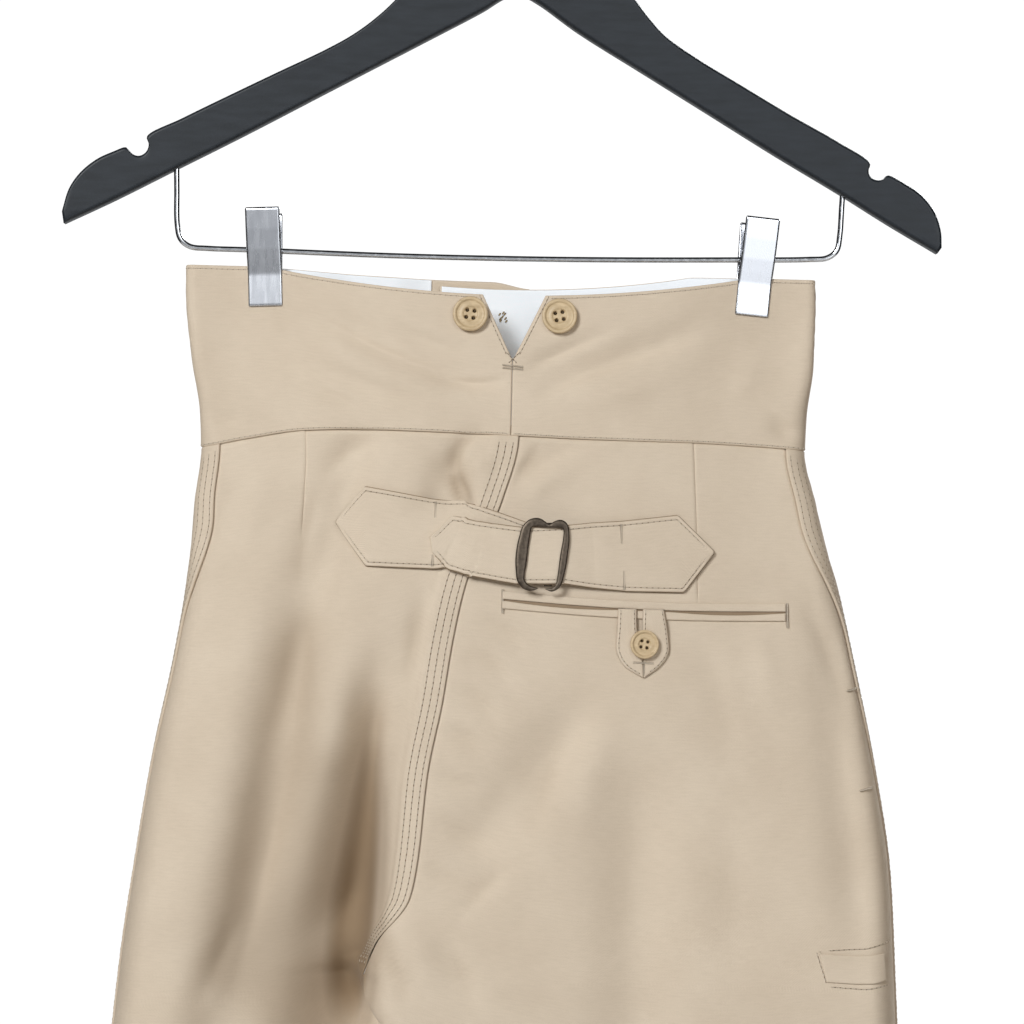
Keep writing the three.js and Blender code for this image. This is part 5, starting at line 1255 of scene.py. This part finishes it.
# %% Hanger and wires
HANGER_TOP = [
    (-223.1, -217.6), (-219.8, -206), (-214.3, -197.8), (-206.2, -191), (-198, -187), (-191.9, -184.8),
    (-190.4, -186.4), (-187.6, -188.6), (-184.6, -188.8), (-181.6, -186.6), (-180.6, -183), (-181.6, -179.2),
    (-164.3, -169.7), (-141.7, -158), (-117.5, -145.7), (-93.4, -133.6), (-80.4, -126), (-69.2, -117.5),
    (-58.9, -107.5), (-46.5, -92), (-35, -76.5), (-25, -67), (-14, -62.8), (0, -62), (14, -62.8), (26, -66.3),
    (37, -76), (48.5, -90.5), (59.9, -104.6), (67.5, -114.2), (75.9, -123), (90.9, -133.2), (114.1, -146.5),
    (138.9, -160.6), (163.7, -173.9), (179.3, -183.8), (178.6, -187.6), (180.2, -191), (183.4, -192.2),
    (186.4, -191.4), (188, -189.6), (196.8, -193.5), (205.2, -199), (211.9, -207),
    (215.4, -216.7), (216, -225)]
HANGER_FOOT = [
    (-222.1, -223.4), (-197.6, -211.3), (-168.6, -195.9), (-131.6, -176.2), (-92.8, -154.8), (-44.5, -128.3),
    (-16, -112.5), (-3.4, -104.8), (4.5, -104.4), (12, -108), (31.8, -121.6), (64.9, -141.2), (98.1, -160.8),
    (131.2, -180.4), (164.3, -199.2), (189.2, -214), (214, -227.9)]
BAR_PATH = [
    (-167, -187), (-166.4, -205), (-165.8, -222), (-164, -229.5), (-159.3, -233.2), (-150, -234),
    (-130.2, -234.2), (-59.3, -235.4), (5.9, -235.4), (56.9, -234.7), (110.7, -233.4), (150, -232.2),
    (159.4, -231.2), (164, -227.5), (165.4, -220), (166, -206), (166.6, -192)]
CROWN_X, CROWN_Z, HOOK_RADIUS = 1.0, -62.0, 1.9
finished(plank("hanger_board", smooth_path(HANGER_FOOT, 480), smooth_path(HANGER_TOP, 480), 6.0, 1.8,
               black_wood),
         "hanger_body", "black_wood")
finished(wire("trouser_bar_wire", BAR_PATH, 1.4, 260, 24, chrome), "trouser_bar", "chrome")
loop = [((17 + HOOK_RADIUS) * math.cos(a), -17 + (17 + HOOK_RADIUS) * math.sin(a))
        for a in np.radians(np.arange(-30, 201, 23))]
stem = [(CROWN_X, CROWN_Z - 14), (CROWN_X, CROWN_Z), (1.4, -50), (5, -40.5), (11.5, -33.5)]
finished(wire("hook_wire", stem + loop, HOOK_RADIUS, 220, 24, chrome), "hook", "chrome")
collar = np.array([(0.1, 1.5), (4.6, 1.5), (5.2, 1.2), (5.4, 0.6), (5.4, -0.4), (5.1, -0.9), (2.0, -0.9)])
a = np.linspace(0, 2 * np.pi, 40, endpoint=False)
rings = np.stack([CROWN_X + collar[:, :1] * np.cos(a), collar[:, :1] * np.sin(a),
                  CROWN_Z + 1.9 + np.repeat(collar[:, 1:], 40, 1)], -1)
finished(loft("hook_collar", rings, chrome, [(CROWN_X, 0, CROWN_Z + 3.4), (CROWN_X, 0, CROWN_Z + 1.0)]),
         "hook", "chrome")

# %% [markdown]
# ## Clips
# Each clip is two channels of pressed sheet that a coil spring round the bar pushes together. The
# channel's sides are bent back, which leaves a bright line along both edges.

# %% Clips
LEAF_SIDE = np.array([(4.35, -28.4), (4.35, -12), (5.6, -6.5), (7, 0), (8.4, 10), (9.4, 20.8)])


LEAF_FOOT, LEAF_ROWS = -28.4, 60


def clip_turn(clip):
    """Matrix of a clip's lean about y, then of its yaw about z."""
    lean, yaw = math.radians(clip[2]), math.radians(clip[3])
    about_z = np.array([(math.cos(yaw), -math.sin(yaw), 0), (math.sin(yaw), math.cos(yaw), 0), (0, 0, 1)])
    about_y = np.array([(math.cos(lean), 0, math.sin(lean)), (0, 1, 0), (-math.sin(lean), 0, math.cos(lean))])
    return about_z @ about_y


def leaf(name, clip, sign, half_width, top, wall=0.9):
    """Channel of sheet: a section with two bent flanges, swept down the leaf's side line."""
    z = np.linspace(LEAF_FOOT, top, LEAF_ROWS)
    y = np.interp(z, LEAF_SIDE[:, 1], LEAF_SIDE[:, 0])
    flange = mix(1.0, 3.4, ease(-10, 0, z)) * (1 - 0.5 * ease(8, top, z))
    bend = np.linspace(0, np.pi / 2, 7)
    radius = 1.1
    right = np.stack([half_width - radius + radius * np.sin(bend), -radius * (1 - np.cos(bend))], -1)
    flat = np.linspace(-1, 1, 9) * (half_width - radius) * 0.96
    section_x = np.concatenate([-right[::-1, 0][:1], -right[::-1, 0], flat, right[:, 0], right[-1:, 0]])
    section_y = np.concatenate([[-radius], right[::-1, 1], np.zeros(9), right[:, 1], [-radius]])
    last = np.zeros(len(section_x))
    last[0] = last[-1] = 1
    gx = np.repeat(section_x[None], LEAF_ROWS, 0)
    gy = sign * (y[:, None] + wall + section_y[None] - last[None] * (flange[:, None] - radius).clip(0.1))
    points = np.stack([gx, gy, np.repeat(z[:, None], len(section_x), 1)], -1)
    points = points @ clip_turn(clip).T + (clip[0], 0, clip[1])
    made, _, _ = shell(name, points, 0.0, wall, -sign, satin_chrome, edge=0.35)
    return made


for side, clip in CLIPS.items():
    finished(leaf(f"clip_{side}_back_channel", clip, -1, 8.7, 20.8), f"clip_{side}_back", "chrome")
    finished(leaf(f"clip_{side}_front_channel", clip, 1, 7.4, 19.0), f"clip_{side}_front", "chrome")
    turns, sides = 240, 14
    a = np.linspace(0, 2 * np.pi * 8, turns)
    b = np.linspace(0, 2 * np.pi, sides, endpoint=False)
    coil_r, wire_r = 3.85, 0.55
    s = np.linspace(-5.6, 5.6, turns)
    ring_x = s[:, None] + wire_r * np.sin(b)
    spoke = coil_r + wire_r * np.cos(b)
    local = np.stack([ring_x, spoke * np.cos(a)[:, None], spoke * np.sin(a)[:, None]], -1)
    rings = local @ clip_turn(clip).T + (clip[0], 0, clip[1])
    finished(loft(f"clip_{side}_coil", rings, chrome, [rings[0].mean(0), rings[-1].mean(0)]),
             f"clip_{side}_spring", "chrome")

# %% [markdown]
# ## Sewing
# Felled seams carry three rows of stitches, hems and straps one. A lockstitch shows as a short bar of
# thread that dives into a needle hole at both ends, so each stitch is a small bead, and each hole is
# a dark flat bead of painted shade between two stitches. Bartacks are the same beads packed side by
# side across their length.

# %% Stitch helpers
thread_sets, hole_shade_sets = {}, {"buttons": button_hole_shades}


def base_bead(rings=2, around=5):
    """Rounded bar of unit half sizes: rings of a superellipse along x, closed by two poles."""
    t = np.cos(np.linspace(np.pi, 0, rings + 2))[1:-1]
    r = (1 - np.abs(t) ** 3) ** 0.5
    a = np.linspace(0, 2 * np.pi, around, endpoint=False)
    body = np.stack([np.repeat(t, around), np.outer(r, np.cos(a)).ravel(),
                     np.outer(r, np.sin(a)).ravel()], -1)
    points = np.concatenate([body, [(-1, 0, 0), (1, 0, 0)]])
    index = np.arange(rings * around).reshape(rings, around)
    index = np.concatenate([index, index[:, :1]], 1)
    n = rings * around
    quads = grid_faces(index, -1)
    first = np.stack([index[0, :-1], np.full(around, n), index[0, 1:]], -1)
    last = np.stack([index[-1, 1:], np.full(around, n + 1), index[-1, :-1]], -1)
    return points, quads, first, last


BEAD = base_bead()


def beads(name, sets, material):
    """One mesh of many beads: the unit bead scaled by (length, width, height) / 2 along each bead's
    own tangent, side and normal. Every set is (centres, tangents, normals, sizes)."""
    centre, tangent, normal, size = (np.concatenate([s[k] for s in sets]) for k in range(4))
    normal = unit(normal)
    side = unit(np.cross(normal, tangent))
    tangent = np.cross(side, normal)
    unit_points, quads, first, last = BEAD
    scaled = unit_points[None] * size[:, None] / 2
    points = (centre[:, None] + scaled[..., :1] * tangent[:, None] + scaled[..., 1:2] * side[:, None]
              + scaled[..., 2:] * normal[:, None])
    step = (np.arange(len(centre)) * len(unit_points))[:, None, None]
    blocks = [(block[None] + step).reshape(-1, block.shape[1]) for block in (quads, first, last)]
    place = np.repeat(centre[:, [0, 2]] * 0.001, len(unit_points), 0)
    uv = np.tile(unit_points[:, :2] * 0.001, (len(centre), 1)) + place
    made = new_mesh(name, points.reshape(-1, 3), blocks, uv, material)
    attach(made, "root")
    print(name, len(centre), "stitches", len(made.data.polygons), "faces")
    return made


def along(line, normals, at):
    """Points, tangents and normals at running lengths of a line."""
    run = run_along(line)
    pick = lambda values, where: np.stack([np.interp(where, run, values[:, k]) for k in range(3)], -1)
    return pick(line, at), unit(pick(line, at + 0.5) - pick(line, at - 0.5)), unit(pick(normals, at))


def stitch(group, line, normals, pitch=2.9, length=1.9, width=0.5, start=1.0, dark=0.5):
    """A row of lockstitches on a line of surface points, with a dark bead of painted shade for the needle
    hole between each two.
    """
    total = np.linalg.norm(np.diff(line, axis=0), axis=1).sum()
    at = np.arange(start, total - 1.0, pitch)
    if len(at) < 2:
        return
    centre, tangent, normal = along(line, normals, at)
    one = np.ones((len(at), 1))
    thread_sets.setdefault(group, []).append((centre + normal * 0.02, tangent, normal,
                                              one * (length, width, 0.5)))
    centre, tangent, normal = along(line, normals, at + pitch / 2)
    hole_shade_sets.setdefault(group, []).append((centre + normal * 0.03, tangent, normal,
                                            one * (dark * 1.9, dark, 0.2)))


def bartack(group, line, normals, width=1.7, pitch=0.42, height=0.55):
    """Beads across a short line, packed side by side, standing up a little."""
    total = np.linalg.norm(np.diff(line, axis=0), axis=1).sum()
    at = np.arange(pitch / 2, total, pitch)
    centre, tangent, normal = along(line, normals, at)
    across = unit(np.cross(normal, tangent))
    lean = unit(across + tangent * 0.18 * np.where(np.arange(len(at)) % 2, 1, -1)[:, None])
    one = np.ones((len(at), 1))
    thread_sets.setdefault(group, []).append((centre + normal * 0.1, lean, normal,
                                              one * (width, 0.46, height)))


def beside(top, normals, distance, first=0, last=None):
    """The line of a grid's surface points at one distance from its first column."""
    top, normals = top[first:last], normals[first:last]
    run = np.cumsum(np.linalg.norm(np.diff(top, axis=1, prepend=top[:, :1]), axis=2), 1)

    def pick(values):
        return np.array([[np.interp(distance, r, v[:, k]) for k in range(3)] for r, v in zip(run, values)])

    return pick(top), pick(normals)


def turned(top, normals, flip=False):
    """The same grid with rows and columns exchanged, and its order turned round if asked."""
    top, normals = top.transpose(1, 0, 2), normals.transpose(1, 0, 2)
    return (top[:, ::-1], normals[:, ::-1]) if flip else (top, normals)


def on_cloth(points, lift, steps=24):
    """A straight run or chain of (x, depth) points laid on the back, with its normals."""
    p = np.asarray(points, float)
    run = run_along(p)
    t = np.linspace(0, run[-1], steps)
    point, normal = on_back(np.interp(t, run, p[:, 0]), np.interp(t, run, p[:, 1]))
    return point + normal * lift, normal


# %% Rows on the panels and the band
seat_top, seat_normals = surfaces["back", "left"]
down_to = int(np.searchsorted(ROWS, 348))
from_band = int(np.searchsorted(ROWS, 85))
for distance in (2.7, 6.2, 9.7):
    stitch("legs", *beside(seat_top, seat_normals, distance, from_band, down_to), pitch=2.85, width=0.7,
           dark=0.62)
    for side in ("left", "right"):
        stitch("legs", *beside(*surfaces["front", side], distance, from_band), pitch=2.95, start=distance / 3)
hem_row = int(np.searchsorted(ROWS, 993))
for key in (("back", "left"), ("back", "right"), ("front", "left"), ("front", "right")):
    top, normals = surfaces[key]
    stitch("legs", top[hem_row, 3:-3], normals[hem_row, 3:-3], pitch=3.0)
for side in ("left", "right"):
    top, normals = band_top[side]
    stitch("band", *beside(*turned(top, normals), 2.4, 5), pitch=2.7, start=3, dark=0.36)
    stitch("band", *beside(*turned(top, normals, flip=True), 1.5, 3), pitch=2.7, start=2, dark=0.36)
    v_rows = int(np.searchsorted(BAND_ROWS, NOTCH_H - 1))
    stitch("band", *beside(top, normals, 2.5, 3, v_rows), pitch=2.5)
    stitch("band", *beside(top[:, ::-1], normals[:, ::-1], 2.5, 3, -3), pitch=2.7)

# %% Tacks, welts and pockets
bartack("band", *on_cloth([(-1.6, 46.9), (8.6, 47.6)], 0.15), width=1.1, pitch=0.55, height=0.8)
bartack("band", *on_cloth([(-1.6, 48.3), (8.6, 48.9)], 0.15), width=1.1, pitch=0.55, height=0.8)
for a, b in (((0.2, 40.5), (6.2, 46.5)), ((6.8, 40.5), (0.8, 46.5))):
    stitch("band", *on_cloth([a, b], 0.05), pitch=1.9, length=1.5, start=0.4)
for chain in ([(1.4, 157.6), (1.6, 169.4)], [(142.0, 161.4), (142.6, 173.6)]):
    bartack("pockets", *on_cloth(chain, 0.75), width=1.5)
for chain in ([(160.2, 332.6), (165.2, 347.4)], [(161.7, 331.8), (166.8, 346.8)],
              [(166.4, 331.6), (185, 330.6), (197.2, 327.2)], [(167.4, 349.4), (185, 350.4), (196.6, 348.4)]):
    stitch("pockets", *on_cloth(chain, 0.1, 40), pitch=2.6)
for chain in ([(173.0, 204.4), (178.0, 203.0)], [(180.0, 253.2), (186.2, 251.6)]):
    bartack("pockets", *on_cloth(chain, 0.8), width=1.2)
for top, normals in tab_parts.values():
    stitch("pockets", *beside(*turned(top, normals), 1.6, 1, -4), pitch=2.4, length=1.7, start=0.6)
    stitch("pockets", *beside(*turned(top, normals, flip=True), 1.6, 1, -16), pitch=2.4, length=1.7,
           start=0.6)
place = lambda p: on_tab(np.linspace(p[0][0], p[1][0], 20), np.linspace(p[0][1], p[1][1], 20),
                         np.full(20, TAB_WALL + 0.1))
flat_normals = np.repeat(tab_normal[None], 20, 0)
bartack("pockets", place(((66.0, 192.1), (76.4, 192.5))), flat_normals, width=1.3, pitch=0.5, height=0.7)
bartack("pockets", place(((71.5, 193.2), (71.6, 198.4))), flat_normals, width=1.3, pitch=0.5, height=0.7)


# %% Straps
def on_strap(stations, chain, steps=160):
    """A chain of (x, depth) points on a strap's outer surface."""
    p = np.asarray(chain, float)
    run = run_along(p)
    t = np.linspace(0, run[-1], steps)
    x, d = np.interp(t, run, p[:, 0]), np.interp(t, run, p[:, 1])
    mids = np.array([((s[0][0] + s[1][0]) / 2, s[2]) for s in stations])
    mids = mids[np.argsort(mids[:, 0])]
    point, normal = strap_rest(x, d)
    lift = np.interp(x, mids[:, 0], mids[:, 1])
    return point + normal * (lift + STRAP_WALL + 0.08)[:, None], normal


for stations, sign in ((LEFT_STRAP, 1), (RIGHT_STRAP, -1)):
    upper = [s[0] for s in stations]
    lower = [s[1] for s in stations]
    stitch("straps", *on_strap(stations, inset(upper, 1.9 * sign)), pitch=2.9, start=2.2)
    stitch("straps", *on_strap(stations, inset(lower, -1.9 * sign)), pitch=2.9, start=2.2)
for stations, chain in ((LEFT_STRAP, [(-33.2, 115.4), (-33, 124.6)]),
                        (LEFT_STRAP, [(-33.4, 141.4), (-33.6, 147.6)]),
                        (RIGHT_STRAP, [(58.6, 124.2), (59.2, 134.0)]),
                        (RIGHT_STRAP, [(60.5, 147.2), (61, 156.4)])):
    bartack("straps", *on_strap(stations, chain, 20), width=1.5, pitch=0.55, height=0.7)

# %% Thread marks of the closure button, and the finished sewing
marks = np.array([(-3.6, 20.4), (-3.2, 22.6), (-1.0, 20.2), (-0.6, 22.4), (-2.2, 21.6), (-1.8, 19.6),
                  (-3.0, 23.6), (-0.2, 23.8)])
mark_y = surface_y("right", "front", marks[:, 0], marks[:, 1]) - 1.85
centre = np.stack([marks[:, 0], mark_y, WAIST_Z - marks[:, 1]], -1)
count = len(marks)
thread_sets["closure"] = [(centre, np.tile([(0.6, 0.0, 0.8)], (count, 1)),
                           np.tile([(0.0, -1.0, 0.0)], (count, 1)),
                           np.tile([(2.1, 0.95, 0.6)], (count, 1)))]
for group, sets in thread_sets.items():
    beads(f"stitches_{group}", sets, tan_thread if group == "closure" else thread_material)
# needle holes and button holes: dark beads of painted shade
for group, sets in hole_shade_sets.items():
    beads(f"painted_dark_shade_{group}", sets, hole_shade_material if group == "buttons" else shade_material)

# %% [markdown]
# ## Camera, light and backdrop
# A catalogue set-up: a long lens square to the back, a white surround and one broad soft light from
# the upper left, with a weaker fill from the right. A rear light does the same for the hidden side.

# %% Stage
camera_data = bpy.data.cameras.new("camera")
camera_data.sensor_width, camera_data.lens = 36.0, 126.6
camera = bpy.data.objects.new("camera", camera_data)
bpy.context.scene.collection.objects.link(camera)
camera.location = (0.005, -1.8, -0.362)
camera.rotation_euler = (math.pi / 2, math.radians(-1.4), 0)
bpy.context.scene.camera = camera

floor_mesh = bpy.data.meshes.new("floor")
floor_mesh.from_pydata([(-2, -2, 0), (2, -2, 0), (2, 2, 0), (-2, 2, 0)], [], [(0, 1, 2, 3)])
pale, pale_tree, pale_shader = new_material("pale_floor", Roughness=0.8)
pale_noise = noise_on_object(pale_tree, 3.0)
pale_tree.links.new(ramp(pale_tree, pale_noise, 0.3, 0.7, ((0.78, 0.78, 0.78, 1), (0.82, 0.82, 0.82, 1))),
                    pale_shader.inputs["Base Color"])
floor_mesh.materials.append(pale)
floor = bpy.data.objects.new("floor", floor_mesh)
floor.location = (0, 0, -1.6)
bpy.context.scene.collection.objects.link(floor)


def area_light(name, place, target, size, power, colour):
    """Square soft light aimed at a point."""
    data = bpy.data.lights.new(name, "AREA")
    data.size, data.energy, data.color = size, power, colour
    made = bpy.data.objects.new(name, data)
    made.location = place
    aim = np.array(target, float) - np.array(place, float)
    made.rotation_euler = (math.atan2(math.hypot(aim[0], aim[1]), -aim[2]), 0, math.atan2(-aim[0], aim[1]))
    bpy.context.scene.collection.objects.link(made)
    return made


LIGHT_AIM, COOL_WHITE = (0, 0, -0.45), (0.96, 0.985, 1.0)
area_light("key", (-2.15, -4.0, 1.65), LIGHT_AIM, 1.6, 182, COOL_WHITE)
area_light("rear", (2.3, 4.0, 1.65), LIGHT_AIM, 1.7, 150, COOL_WHITE)
area_light("fill", (1.1, -2.5, 0.5), LIGHT_AIM, 1.2, 12, COOL_WHITE)

# The surround is white to the eye, a warm weak bounce for cloth, and for polished parts a room that is
# bright before and behind and dark above, below and at the sides, with a window at the right.
world = bpy.data.worlds.new("surround")
bpy.context.scene.world = world
world.use_nodes = True
room = world.node_tree
ray = node(room, "ShaderNodeLightPath")
way = node(room, "ShaderNodeSeparateXYZ", {"Vector": node(room, "ShaderNodeTexCoord").outputs["Generated"]})
ahead = node(room, "ShaderNodeMath", {0: way.outputs["Y"]}, operation="ABSOLUTE")
band = node(room, "ShaderNodeMapRange", {"Value": ahead.outputs[0], "From Min": 0.72, "From Max": 0.97,
                                         "To Min": 0.03, "To Max": 0.66})
window = node(room, "ShaderNodeMapRange", {"Value": way.outputs["X"], "From Min": 0.12, "From Max": 0.26,
                                           "To Min": 0.0, "To Max": 1.7})
front_only = node(room, "ShaderNodeMath", {0: way.outputs["Y"], 1: -0.8}, operation="LESS_THAN")
window_part = node(room, "ShaderNodeMath", {0: window.outputs[0], 1: front_only.outputs[0]},
                   operation="MULTIPLY")
mirror = node(room, "ShaderNodeMath", {0: band.outputs[0], 1: window_part.outputs[0]}, operation="ADD")
mirror_tone = node(room, "ShaderNodeMix", {0: 1.0, 6: (0.94, 0.97, 1.0, 1), 7: mirror.outputs[0]},
                   data_type="RGBA", blend_type="MULTIPLY")
bounce = node(room, "ShaderNodeMix", {0: ray.outputs["Is Glossy Ray"], 6: (0.15, 0.115, 0.078, 1),
                                      7: mirror_tone.outputs[2]}, data_type="RGBA")
seen = node(room, "ShaderNodeMix", {0: ray.outputs["Is Camera Ray"], 6: bounce.outputs[2],
                                    7: (1.05, 1.05, 1.05, 1)}, data_type="RGBA")
surround = room.nodes["Background"]
surround.inputs["Strength"].default_value = 1.0
room.links.new(seen.outputs[2], surround.inputs["Color"])
bpy.context.scene.view_settings.view_transform = "Standard"
bpy.context.scene.view_settings.look = "None"
